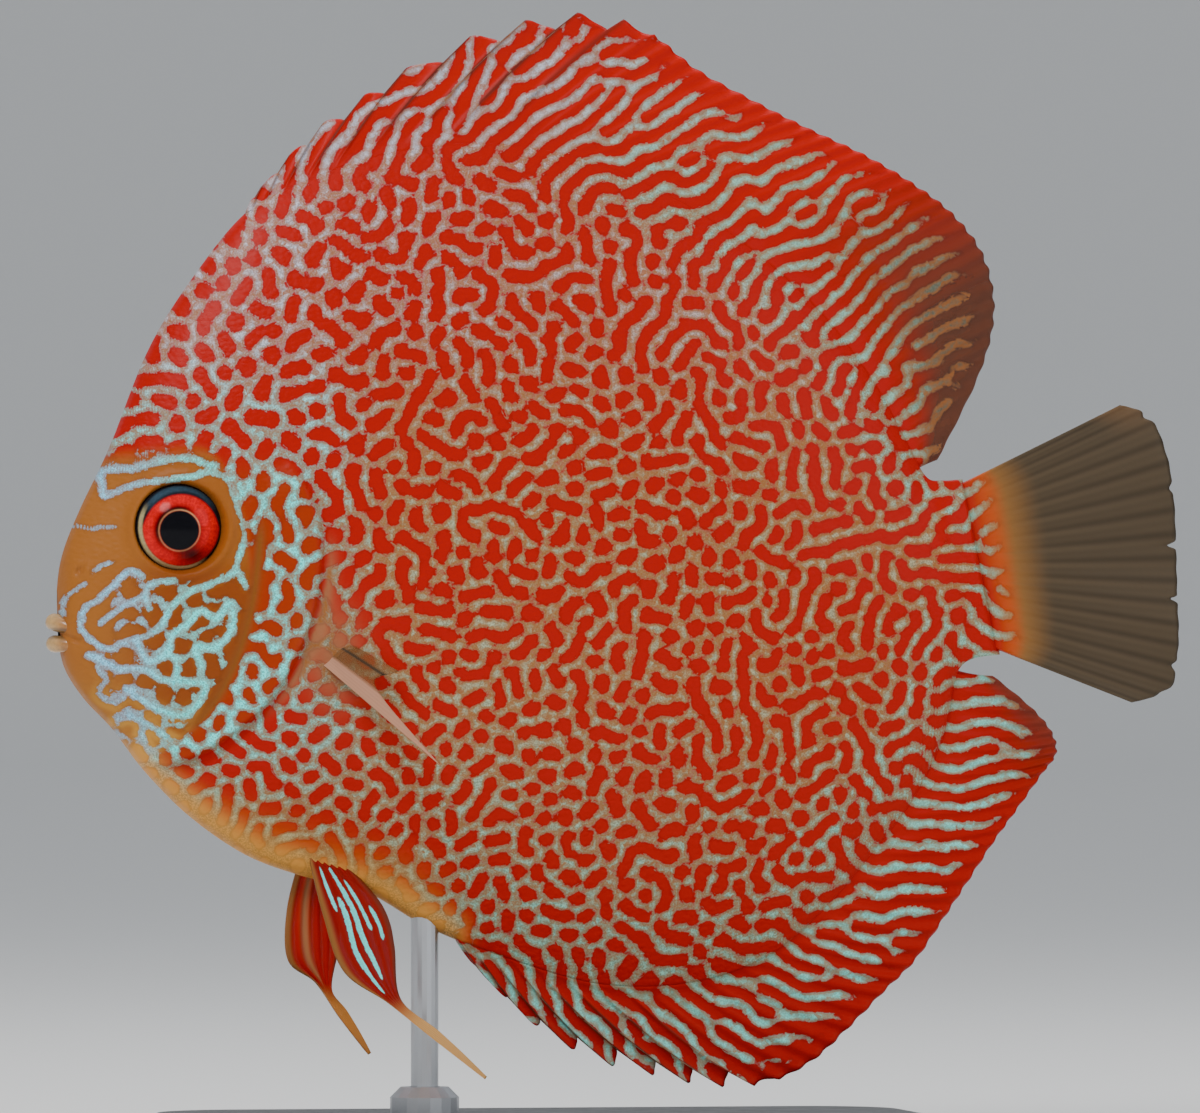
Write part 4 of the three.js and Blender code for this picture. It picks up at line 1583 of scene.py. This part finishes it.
ANAL = MedianFin(
    name="anal_fin",
    nodes=("anal_fin_spines", "anal_fin_rays"),
    look=FinLook.LOWER,
    root=[
        (-24.1, 31.6), (-21.2, 30.3), (-16.8, 28.8), (-10.9, 26.8), (-4.3, 25.1), (2.4, 24.5), (9, 24.9),
        (14.9, 26.4), (20.8, 28.6), (25.9, 32.2), (30.3, 35.8), (34, 40.2), (37.7, 44.2), (40.9, 48.3),
        (43.9, 52.3), (46.5, 56.8), (48.3, 61.2), (49.5, 66.3), (50, 70.6),
    ],
    edge=[
        (-21.2, 27.7), (-12.4, 19.1), (-3.1, 13.8), (6.2, 11.4), (14.3, 10), (21.6, 10.4), (28.4, 13.6),
        (34, 18.4), (39.6, 23.8), (44.3, 28.3), (48.4, 34.2), (52, 39.7), (55.8, 45.5), (59.3, 50.2),
        (63.1, 55.2), (65.5, 58.3), (64.9, 61.5), (61.7, 65.1), (55.8, 69.7),
    ],
    spines=8,
    rays=29,
    spiny=0.28,
    notch=(0.42, 0.16),
    bow=-0.035,
    columns=420,
    rows=56,
    ripple=0.8,
)
TAIL = MedianFin(
    name="tail_fin_sheet",
    nodes=("tail_fin",),
    look=FinLook.SMOKY,
    root=[
        (51.3, 97.9), (52, 96), (52.6, 93.1), (53.3, 89.9), (54, 86.6), (54.8, 83.2), (55.6, 79.7),
        (56.3, 76.1), (56.6, 73.4),
    ],
    edge=[
        (75.2, 109.3), (79.9, 107.6), (82.3, 101.8), (83.5, 94.5), (84, 87), (84, 80), (84, 73.5),
        (83, 67.7), (77, 65.7),
    ],
    spines=0,
    rays=17,
    spiny=0.0,
    notch=(0.0, 0.0),
    bow=0.0,
    columns=260,
    rows=56,
    ripple=0.7,
    flutter=0.03,
    ray_rise=0.07,
    scallop=0.003,
    tears=(
        (0.12, 0.025, 0.02),
        (0.47, 0.045, 0.006),
        (0.61, 0.04, 0.006),
        (0.33, 0.02, 0.01),
        (0.8, 0.03, 0.012),
        (0.9, 0.02, 0.02),
    ),
)


# Paired fins


def fan(middle: Grid, facing: Grid, half: Grid, side: Side) -> tuple[Grid, Grid]:
    """Two faces of a sheet, half a thickness to each side of its middle.

    Args:
        middle: its middle, as given for the left side.
        facing: the way it faces.
        half: its half thickness.
        side: the side it is made for; the right one is the mirror of the left one.

    Returns:
        The left and the right face.
    """
    offset = facing * half[..., None]
    left, right = middle - offset, middle + offset
    if side is Side.LEFT:
        return left, right
    mirror = np.array([1, -side.value, 1])
    return right * mirror, left * mirror


@dataclass(frozen=True)
class PectoralFin:
    """A pectoral fin: a clear fan of fine rays, swung out and down.

    Attributes:
        side: its side of the fish.
        root, span: where its root starts, and the way to the root's end.
        first, last: its first and last ray.
        dip: how much shorter its middle rays are, as a share.
        rays: count of its rays.
        columns, rows: its mesh.
        film, ray_rise, root_rise: half thickness between rays, at their crests and at the root.
        rose, brown: colours of the band along the first rays and of the film behind it.
    """

    side: Side
    root: Place = (-46.5, -8.0, 73.0)
    span: Place = (0.4, 0.5, 4.6)
    first: Place = (16.0, -20.0, -16.2)
    last: Place = (11.5, -6.5, -7.0)
    dip: float = 0.42
    rays: int = 12
    columns: int = 111
    rows: int = 41
    film: float = 0.2
    ray_rise: float = 0.02
    root_rise: float = 0.7
    rose: Colour = srgb(184, 134, 108)
    brown: Colour = srgb(128, 84, 44)

    def colours(self, a: Grid, w: Grid, crest: Grid) -> dict[str, Grid]:
        """A solid rosy band along the first rays, a clear brown film behind it, one dark ray near the last.

        Args:
            a, w: shares across the rays and out along them.
            crest: how near a ray's crest it is.

        Returns:
            The attributes by name.
        """
        lead = smooth(0.5, 0.36, a)
        rose = np.array(self.rose) * (0.96 + 0.08 * crest)[..., None]
        line = bell(a - 0.8, 0.035)
        core = np.array(self.brown) * (1 - lead[..., None]) + rose * lead[..., None]
        core = blend_colours(core, Tint.SMOKE, line)
        return {
            "mark": np.ones(a.shape),
            "core": core,
            "pale": core,
            "fringe": np.zeros(a.shape),
            "grain": np.zeros(a.shape),
            "solid": np.clip(0.4 + 0.5 * lead + 0.5 * line + 0.4 * np.clip(1 - w * 3, 0, 1), 0, 1),
        }

    def build(self, material: bpy.types.Material) -> bpy.types.Object:
        """Makes the fin.

        Args:
            material: its material.

        Returns:
            The piece.
        """
        a, w = share_grid(self.columns, self.rows)
        root, span = np.array(self.root), np.array(self.span)
        first, last = np.array(self.first), np.array(self.last)
        length = 1 - self.dip * np.sin(np.pi * a)
        ray = first + (last - first) * a[..., None]
        middle = root + span * a[..., None] + ray * (length * w)[..., None]
        facing = np.cross(first, span)
        facing = facing / np.linalg.norm(facing)
        crest = ray_crest(a, self.rays)
        half = self.film + self.ray_rise * crest * (1 - 0.6 * w)
        half = half + self.root_rise * np.clip(1 - w * 4, 0, 1) ** 2
        half *= closed(1 - w, 20) * closed(np.minimum(a, 1 - a), 30)
        left, right = fan(middle, facing, half, self.side)
        name = self.side.name.lower()
        piece = ring_mesh(f"pectoral_{name}", left, right, same_sides(self.colours(a, w, crest)))
        piece.data.materials.append(material)
        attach(piece, "root")
        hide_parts(f"pectoral_fin_{name}")
        return piece


@dataclass(frozen=True)
class Streak:
    """A pale streak of the near pelvic fin.

    Attributes:
        place, drift: where it starts across the blade, and how far it moves across per length.
        width: its width across the blade.
        first, last: where along the blade it starts and ends.
    """

    place: float
    drift: float
    width: float
    first: float
    last: float

    def strength(self, a: Grid, w: Grid) -> Grid:
        """How strong the streak is.

        Args:
            a, w: shares across the blade and along it.

        Returns:
            1 on the streak, 0 away from it.
        """
        line = self.place + self.drift * w + 0.012 * np.sin(23 * w + 9 * self.place)
        ends = (self.first - 0.03, self.first + 0.03), (self.last + 0.03, self.last - 0.03)
        return bell(a - line, self.width) * smooth(*ends[0], w) * smooth(*ends[1], w)


STREAKS = (
    Streak(0.24, 0.0, 0.04, 0.04, 0.2),
    Streak(0.36, -0.02, 0.05, 0.16, 0.56),
    Streak(0.46, 0.22, 0.05, 0.04, 0.5),
    Streak(0.6, 0.3, 0.035, 0.1, 0.3),
    Streak(0.78, 0.12, 0.035, 0.2, 0.36),
)


@dataclass(frozen=True)
class PelvicFin:
    """A pelvic fin: a red blade with pale stripes along its rays, drawn out to a cream thread.

    Attributes:
        side: its side of the fish.
        lead, trail: points of its leading and trailing line, from the root.
        ground: its red.
        stripes: how far the pale streaks press the mark down.
        sand: share of a sandy stripe along it.
        cream: how cream its thread is.
        root, span: where its root starts, and the way to the root's end.
        facing: the way the blade faces.
        rays: count of its rays.
        columns, rows: its mesh.
        film, ray_rise, root_rise, lead_rise: half thickness, and what rays, root and leading edge add.
    """

    side: Side
    lead: Sequence
    trail: Sequence
    ground: Tint
    stripes: float
    sand: float
    cream: float
    root: Place = (-46.2, -2.4, 44.5)
    span: Place = (5.0, 0.3, -1.0)
    facing: Place = (0.2, 0.97, 0.1)
    rays: int = 6
    columns: int = 121
    rows: int = 121
    film: float = 0.18
    ray_rise: float = 0.2
    root_rise: float = 0.6
    lead_rise: float = 0.12

    def colours(self, a: Grid, w: Grid, crest: Grid) -> dict[str, Grid]:
        """Attributes of the blade and its thread.

        Args:
            a, w: shares across the blade and along it.
            crest: how near a ray's crest it is.

        Returns:
            The attributes by name.
        """
        body = smooth(0.02, 0.1, w) * smooth(0.64, 0.52, w)
        streaks = np.zeros(a.shape)
        for streak in STREAKS:
            streaks = np.maximum(streaks, streak.strength(a, w))
        thread = smooth(0.58, 0.75, w)
        core = flat_colour(self.ground, a.shape)
        for tint, share in (
            (Tint.AMBER, smooth(0.15, 0.05, a) * 0.9),
            (Tint.UMBER, smooth(0.86, 0.98, a) * 0.7),
            (Tint.ORANGE, thread),
            (Tint.CREAM, thread * self.cream),
            (Tint.SAND, bell(a - 0.3 - 0.2 * w, 0.07) * body * self.sand),
        ):
            core = blend_colours(core, tint, share)
        return {
            "mark": 1.0 - streaks * body * self.stripes,
            "core": core,
            "pale": flat_colour(Tint.TURQUOISE, a.shape),
            "fringe": np.full(a.shape, 0.1),
            "grain": np.full(a.shape, 0.3),
            "solid": np.clip(0.85 + 0.15 * crest, 0, 1),
        }

    def build(self, material: bpy.types.Material) -> bpy.types.Object:
        """Makes the fin.

        Args:
            material: its material.

        Returns:
            The piece.
        """
        a, w = share_grid(self.columns, self.rows)
        lead, trail = along(self.lead, w), along(self.trail, w)
        root, span = np.array(self.root), np.array(self.span)
        trailing = trail + span * (1 - smooth(0.3, 0.85, w))[..., None]
        middle = root + lead + (trailing - lead) * a[..., None]
        crest = ray_crest(a, self.rays)
        half = self.film + self.ray_rise * crest * (1 - w)
        half = half + self.root_rise * np.clip(1 - w * 4, 0, 1) ** 2 + self.lead_rise * smooth(0.12, 0.0, a)
        half *= closed(1 - w, 20) * closed(np.minimum(a, 1 - a), 30)
        left, right = fan(middle, np.array(self.facing), half, self.side)
        name = self.side.name.lower()
        piece = ring_mesh(f"pelvic_{name}", left, right, same_sides(self.colours(a, w, crest)))
        piece.data.materials.append(material)
        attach(piece, "root")
        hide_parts(f"pelvic_fin_{name}")
        return piece


PELVICS = {
    Side.LEFT: PelvicFin(
        Side.LEFT,
        lead=[
            (0, 0, 0), (2, -1.6, -9), (4.8, -3.2, -17.3), (11.1, -4.8, -21.9), (17.7, -5.7, -27.2),
            (25, -6.4, -32.9),
        ],
        trail=[
            (0, 0, 0), (5.7, -1, -6.5), (7.9, -2.2, -12.6), (10.9, -3.8, -20.7), (18.6, -5.2, -26.1),
            (25.3, -6.3, -32.5),
        ],
        # Its red is the darker copy of RED, as painted shade
        ground=Tint.SHADED_RED,
        stripes=1.9,
        sand=0.0,
        cream=0.6,
    ),
    Side.RIGHT: PelvicFin(
        Side.RIGHT,
        lead=[
            (0, 0, 0), (-2, -1.4, -8.4), (-1.7, -2.6, -15.9), (2.6, -3.8, -19.3), (6.2, -4.8, -24.3),
            (10.6, -5.4, -29.8),
        ],
        trail=[
            (0, 0, 0), (0.4, -0.9, -6.5), (1.1, -2, -13.1), (2.7, -3.2, -19.5), (7.3, -4.4, -23.5),
            (11, -5.3, -29.5),
        ],
        ground=Tint.RED,
        stripes=0.0,
        sand=0.8,
        cream=0.2,
    ),
}


# Eyes and lips


def laid(base: Grid, colour: Colour, share: Grid) -> Grid:
    """Base colours covered by one colour by a share per point."""
    return base * (1 - share[..., None]) + np.array(colour) * share[..., None]


@dataclass(frozen=True)
class Eye:
    """An eye: a low dome with a black pupil, a thin gold ring, a red iris and a dark upper rim, with painted
    shade round the pupil and a painted reflection over its top.

    Attributes:
        side: its side of the fish.
        around, out: its mesh round the eye and out from its middle.
        seed, streaks: start of the random numbers and count of the waves that streak the iris.
        iris, rim, pearl, sheen, gold, black: its colours from the iris to the pupil; sheen is the colour of a
            painted reflection over the top of the eye.
    """

    side: Side
    around: int = 161
    out: int = 97
    seed: int = 11
    streaks: int = 14
    iris: Colour = (0.72, 0.006, 0.008)
    rim: Colour = srgb(22, 26, 34)
    pearl: Colour = srgb(196, 180, 130)
    sheen: Colour = srgb(64, 92, 112)
    gold: Colour = srgb(214, 172, 120)
    black: Colour = (0.004, 0.004, 0.006)

    def streaked(self, turn: Grid) -> Grid:
        """Uneven streaks round the iris, as the mean of sine waves of random count and start.

        Args:
            turn: angle round the eye's middle.

        Returns:
            The streaks, about -1 to 1.
        """
        rng = np.random.default_rng(self.seed)
        streak = np.zeros(turn.shape)
        for count in rng.integers(5, 70, self.streaks):
            streak += np.sin(count * turn + rng.uniform(0, 6.28)) / self.streaks
        return streak

    def colours(self, turn: Grid, r: Grid, x: Grid, z: Grid) -> Grid:
        """Colour of the eye, laid from the iris up to the pupil.

        Args:
            turn, r: angle round the eye's middle and share of its radius.
            x, z: its side view.

        Returns:
            The colour per point.
        """
        pupil = np.hypot(x - PUPIL_X, z - PUPIL_Z)
        whole = EYE_RADIUS * r
        up = np.sin(turn)
        ground = np.broadcast_to(np.array(self.iris), r.shape + (3,))
        colour = ground * (1 + 0.3 * self.streaked(turn))[..., None]
        smudge = bell(np.hypot((x - PUPIL_X - 1.9) / 1.6, z - PUPIL_Z + 3.5), 1.6)
        colour = colour * (1 - 0.93 * smudge)[..., None]
        # Painted shade round the pupil: darker towards its upper left, and in a thin ring all round it
        shadow = 0.6 * bell(pupil - PUPIL_RADIUS - 0.4, 0.55) * smooth(-0.3, 0.7, np.sin(turn - 0.9))
        colour = colour * (1 - shadow - 0.35 * bell(pupil - PUPIL_RADIUS - 0.3, 0.4))[..., None]
        rim = smooth(5.35, 5.8, whole + 0.85 * np.clip(up, 0, 1) ** 0.7)
        below = smooth(-0.05, -0.5, np.sin(turn + 0.75))
        pearl = smooth(5.45, 5.75, whole) * smooth(6.2, 5.95, whole) * below
        # Painted reflection: a bluish crescent laid over the top of the iris and its dark rim
        painted_reflection = smooth(4.9, 5.5, whole) * smooth(6.1, 5.8, whole) * smooth(0.35, 0.8, up)
        ring = bell(pupil - PUPIL_RADIUS - 0.1, 0.1) * (0.4 + 0.35 * np.clip(np.sin(turn + 0.5), 0, 1))
        colour = laid(colour, self.rim, rim)
        colour = laid(colour, self.pearl, pearl * 0.8)
        colour = laid(colour, self.sheen, painted_reflection * 0.55)
        colour = laid(colour, self.gold, ring)
        return laid(colour, self.black, smooth(PUPIL_RADIUS + 0.05, PUPIL_RADIUS - 0.1, pupil))

    def build(self, material: bpy.types.Material) -> bpy.types.Object:
        """Makes the eye: half an ellipsoid outside and a flatter one behind it.

        Args:
            material: its material.

        Returns:
            The piece.
        """
        turns = np.linspace(0, 2 * np.pi, self.around)
        radii = np.sin(np.linspace(0.0, np.pi / 2, self.out))
        turn, r = np.meshgrid(turns, radii, indexing="ij")
        x = EYE_X + EYE_RADIUS * r * np.cos(turn)
        z = EYE_Z + EYE_RADIUS * r * np.sin(turn)
        middle = flank(EYE_X, EYE_Z) + EYE_PROUD - EYE_DEPTH
        out = middle + EYE_DEPTH * np.sqrt(np.clip(1 - r**2, 0, 1))
        back = middle - 0.5 * (out - middle)
        dome = np.stack([x, self.side.value * out, z], -1)
        hidden = np.stack([x, self.side.value * back, z], -1)
        left, right = (dome, hidden) if self.side is Side.LEFT else (hidden, dome)
        tone = {"tone": self.colours(turn, r, x, z)[::-1]}
        name = self.side.name.lower()
        piece = ring_mesh(f"eye_{name}_dome", left[::-1], right[::-1], same_sides(tone))
        piece.data.materials.append(material)
        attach(piece, "root")
        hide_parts(f"eye_{name}")
        return piece


@dataclass(frozen=True)
class Lip:
    """A lip, bent round the snout from one corner of the mouth to the other.

    Attributes:
        name: the solid it stands for.
        front, corner: X and Z of its front and of the mouth's corner.
        half_span: half its width across the fish.
        radius: radius of the roll.
        around, over: its mesh round the snout and over the roll.
    """

    name: str
    front: tuple[float, float]
    corner: tuple[float, float]
    half_span: float
    radius: float
    around: int = 61
    over: int = 25

    def build(self, material: bpy.types.Material) -> bpy.types.Object:
        """Makes the lip as a roll that thins to its ends, cream, with painted shade at the line of the mouth.

        It runs back as one less the cosine of the turn round the snout, and across as the sine.

        Args:
            material: its material.

        Returns:
            The piece.
        """
        quarter = np.pi / 2
        turns = np.linspace(-quarter, quarter, self.around)
        angles = np.linspace(-quarter, quarter, self.over)
        turn, angle = np.meshgrid(turns, angles, indexing="ij")
        back = 1 - np.cos(turn)
        radius = self.radius * (1 - 0.45 * back) * np.sqrt(np.clip(np.cos(turn) * 6 + 0.02, 0, 1))
        x = self.front[0] + self.radius + (self.corner[0] - self.front[0]) * back
        z = self.front[1] + (self.corner[1] - self.front[1]) * back
        z = z + np.sin(angle) * radius
        y = self.half_span * np.sin(turn)
        out = np.cos(angle) * radius

        def face(way: float) -> Grid:
            """The face that looks out of the roll one way or the other."""
            return np.stack([x + way * out * np.cos(turn), y - way * out * np.sin(turn), z], -1)

        # Painted shade between the lips, darkest at the line of the mouth
        painted_mouth_shade = smooth(1.0, 0.55, np.abs(z - MOUTH_Z))
        tone = flat_colour(Tint.CREAM, x.shape)
        tone = blend_colours(tone, Tint.SNOUT, 0.35 + 0.55 * smooth(0.05, 0.4, back))
        tone = blend_colours(tone, Tint.SMOKE, painted_mouth_shade * 0.55)
        piece = ring_mesh(f"{self.name}_roll", face(1.0), face(-1.0), same_sides({"tone": tone}))
        piece.data.materials.append(material)
        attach(piece, "root")
        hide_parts(self.name)
        return piece


LIPS = (
    Lip("lip_upper", (-84, 77.6), (-79.6, 76.1), 3.1, 1.3),
    Lip("lip_lower", (-83.9, 74.5), (-79.4, 74.3), 3.0, 1.25),
)


# Stand, stage, light and camera


@dataclass(frozen=True)
class Stand:
    """Finishes on the stand's own solids: a dark satin plate, and brushed steel.

    Attributes:
        plate_colour, steel_colour: their colours.
        plate, steel: how they answer light.
    """

    plate_colour: Colour = srgb(46, 46, 50)
    steel_colour: Colour = srgb(196, 198, 202)
    plate: Finish = Finish(roughness=0.42, coat=0.15)
    steel: Finish = Finish(roughness=0.36, metallic=1.0)

    def dress(self, nodes: dict[str, bpy.types.Object]) -> None:
        """Gives the stand's solids their finishes.

        Args:
            nodes: the frame's solids by name.
        """
        plate = plain_material("stand_plate", self.plate_colour, self.plate, 0.12, 300.0)
        steel = plain_material("stand_steel", self.steel_colour, self.steel, 0.015, 60.0)
        for name, material in {"stand_base": plate, "stand_rod": steel, "stand_collar": steel}.items():
            mesh = nodes[name].data
            mesh.materials.clear()
            mesh.materials.append(material)
            LOG.info("%s: finish %s", name, material.name)


@dataclass(frozen=True)
class Stage:
    """A pale round bowl: a flat floor, a wide curve all round and a low upright wall, in metres.

    Attributes:
        radius, curve, height: radius of the wall, of the curve up to it, and the wall's top.
        hole: radius of the small middle face.
        around, flat_steps, curve_steps: its mesh.
        colour: its colour, as linear light.
    """

    radius: float = 6.0
    curve: float = 2.0
    height: float = 3.2
    hole: float = 0.02
    around: int = 96
    flat_steps: int = 12
    curve_steps: int = 32
    colour: tuple[float, float, float, float] = (0.8, 0.8, 0.79, 1.0)

    def build(self) -> None:
        """Carries a section round the middle: out along the floor, up a quarter circle and up the wall."""
        material, _, shader = surface("sweep", Finish(roughness=0.9, specular=0.1))
        shader.inputs["Base Color"].default_value = self.colour
        turn = np.linspace(0, 2 * np.pi, self.around + 1)[:-1, None]
        curve = np.linspace(0, np.pi / 2, self.curve_steps + 1)[1:]
        flat = self.radius - self.curve
        floor = np.linspace(self.hole, flat, self.flat_steps)
        out = np.concatenate([floor, flat + self.curve * np.sin(curve), [self.radius]])[None, :]
        rise = self.curve * (1 - np.cos(curve))
        height = np.concatenate([np.zeros(self.flat_steps), rise, [self.height]])[None, :]
        points = np.stack(np.broadcast_arrays(out * np.cos(turn), out * np.sin(turn), height), -1)
        index = np.arange(points.shape[0] * points.shape[1]).reshape(points.shape[:2])
        after = np.roll(index, -1, 0)
        faces = np.stack([index[:, :-1], index[:, 1:], after[:, 1:], after[:, :-1]], -1)
        mesh = bpy.data.meshes.new("sweep")
        middle = [index[:, 0].tolist()]
        mesh.from_pydata(points.reshape(-1, 3).tolist(), [], faces.reshape(-1, 4).tolist() + middle)
        mesh.polygons.foreach_set("use_smooth", np.ones(len(mesh.polygons), bool))
        sweep = bpy.data.objects.new("sweep", mesh)
        bpy.context.scene.collection.objects.link(sweep)
        sweep.data.materials.append(material)
        LOG.info("sweep: %d vertices", len(mesh.vertices))


def turned_to(way: Vector) -> Sequence[float]:
    """Angles that turn a lamp or camera to look a way."""
    return way.to_track_quat("-Z", "Y").to_euler()


@dataclass(frozen=True)
class Lamp:
    """A soft round lamp that looks at the fish.

    Attributes:
        name: its name.
        place: where it stands, in metres.
        size: its diameter in metres.
        watts: its power.
        colour: its colour, as linear light.
        aim: what it looks at.
    """

    name: str
    place: Place
    size: float
    watts: float
    colour: Colour
    aim: Place = (0, 0, 0.085)

    def build(self) -> None:
        """Makes the lamp."""
        data = bpy.data.lights.new(self.name, "AREA")
        data.shape = "DISK"
        data.size = self.size
        data.energy = self.watts
        data.color = self.colour
        thing = bpy.data.objects.new(self.name, data)
        thing.location = self.place
        thing.rotation_euler = turned_to(Vector(self.aim) - Vector(self.place))
        bpy.context.scene.collection.objects.link(thing)
        LOG.info("%s: lamp of %.1f W", self.name, self.watts)


LAMPS = (
    Lamp("key", (-0.55, -0.75, 0.85), 0.45, 8.0, (1.0, 0.97, 0.93)),
    Lamp("fill", (0.8, -0.8, 0.45), 0.7, 2.4, (0.93, 0.97, 1.0)),
    Lamp("top", (0.1, 0.2, 0.9), 0.5, 4.0, (1.0, 1.0, 1.0)),
)


@dataclass(frozen=True)
class Sky:
    """A pale even sky."""

    colour: tuple[float, float, float, float] = (0.9, 0.94, 1.0, 1.0)
    strength: float = 0.6

    def build(self) -> None:
        """Makes the sky the scene's world."""
        world = bpy.data.worlds.new("sky")
        world.use_nodes = True
        sky = world.node_tree.nodes["Background"]
        sky.inputs["Color"].default_value = self.colour
        sky.inputs["Strength"].default_value = self.strength
        bpy.context.scene.world = world
        LOG.info("sky: strength %.1f", self.strength)


@dataclass(frozen=True)
class Eyepoint:
    """A long lens, level with the fish and a little towards its head.

    Attributes:
        turn: angle from square on, in degrees.
        aim: what it looks at, in millimetres.
        distance: how far off it stands, in metres.
        lens, sensor: focal length and film width in millimetres.
        near, far: what it sees, in metres.
    """

    turn: float = -10
    aim: Place = (-2.8, 0.0, 87.1)
    distance: float = 2.2
    lens: float = 454.67
    sensor: float = 36.0
    near: float = 0.05
    far: float = 40.0

    def build(self) -> None:
        """Makes the scene's camera."""
        data = bpy.data.cameras.new("camera")
        data.lens = self.lens
        data.sensor_width = self.sensor
        data.clip_start = self.near
        data.clip_end = self.far
        camera = bpy.data.objects.new("camera", data)
        turn = math.radians(self.turn)
        back = Vector((math.sin(turn), -math.cos(turn), 0.0))
        camera.location = Vector(self.aim) * MM + back * self.distance
        camera.rotation_euler = turned_to(-back)
        bpy.context.scene.collection.objects.link(camera)
        bpy.context.scene.camera = camera
        LOG.info("camera: lens %.0f mm", self.lens)


# How strongly stripes follow the rays, the start of each side's random numbers, and the steps of the run
RAY_PULL = ((DORSAL, 0.55), (ANAL, 0.55), (TAIL, 0.6))
SEEDS = {Side.LEFT: 7, Side.RIGHT: 19}
QUICK_STEPS, FULL_STEPS = 30, 90

SKIN_FINISH = Finish(roughness=0.42, coat=0.03, coat_roughness=0.12, bump=0.25, specular=0.12)
FIN_FINISH = Finish(roughness=0.45, coat=0.02, coat_roughness=0.15, bump=0.1, specular=0.12)
EYE_FINISH = Finish(roughness=0.12, specular=0.1)
LIP_FINISH = Finish(roughness=0.35, coat=0.4)


def main() -> None:
    """Builds the whole scene round the frame."""
    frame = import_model()
    steps = FULL_STEPS
    rays = [fin.ray_field(strength) for fin, strength in RAY_PULL]
    markings = {side: Growth().run(rays, seed, steps) for side, seed in SEEDS.items()}
    shaders = make_shaders()
    skin = marked_material("skin", shaders, SKIN_FINISH, False)
    fin_skin = marked_material("fin_skin", shaders, FIN_FINISH, True)
    Skin().build(markings, skin)
    for fin in (DORSAL, ANAL, TAIL):
        fin.build(markings, fin_skin)
    eye = toned_material("eye", EYE_FINISH, 2600.0, 0.85, 1.12)
    for side in Side:
        PectoralFin(side).build(fin_skin)
        PELVICS[side].build(fin_skin)
        Eye(side).build(eye)
    lip = toned_material("lip", LIP_FINISH, 1600.0, 0.85, 1.08)
    for each in LIPS:
        each.build(lip)
    Stand().dress(frame["nodes"])
    Stage().build()
    for lamp in LAMPS:
        lamp.build()
    Sky().build()
    Eyepoint().build()


if __name__ == "__main__":
    main()
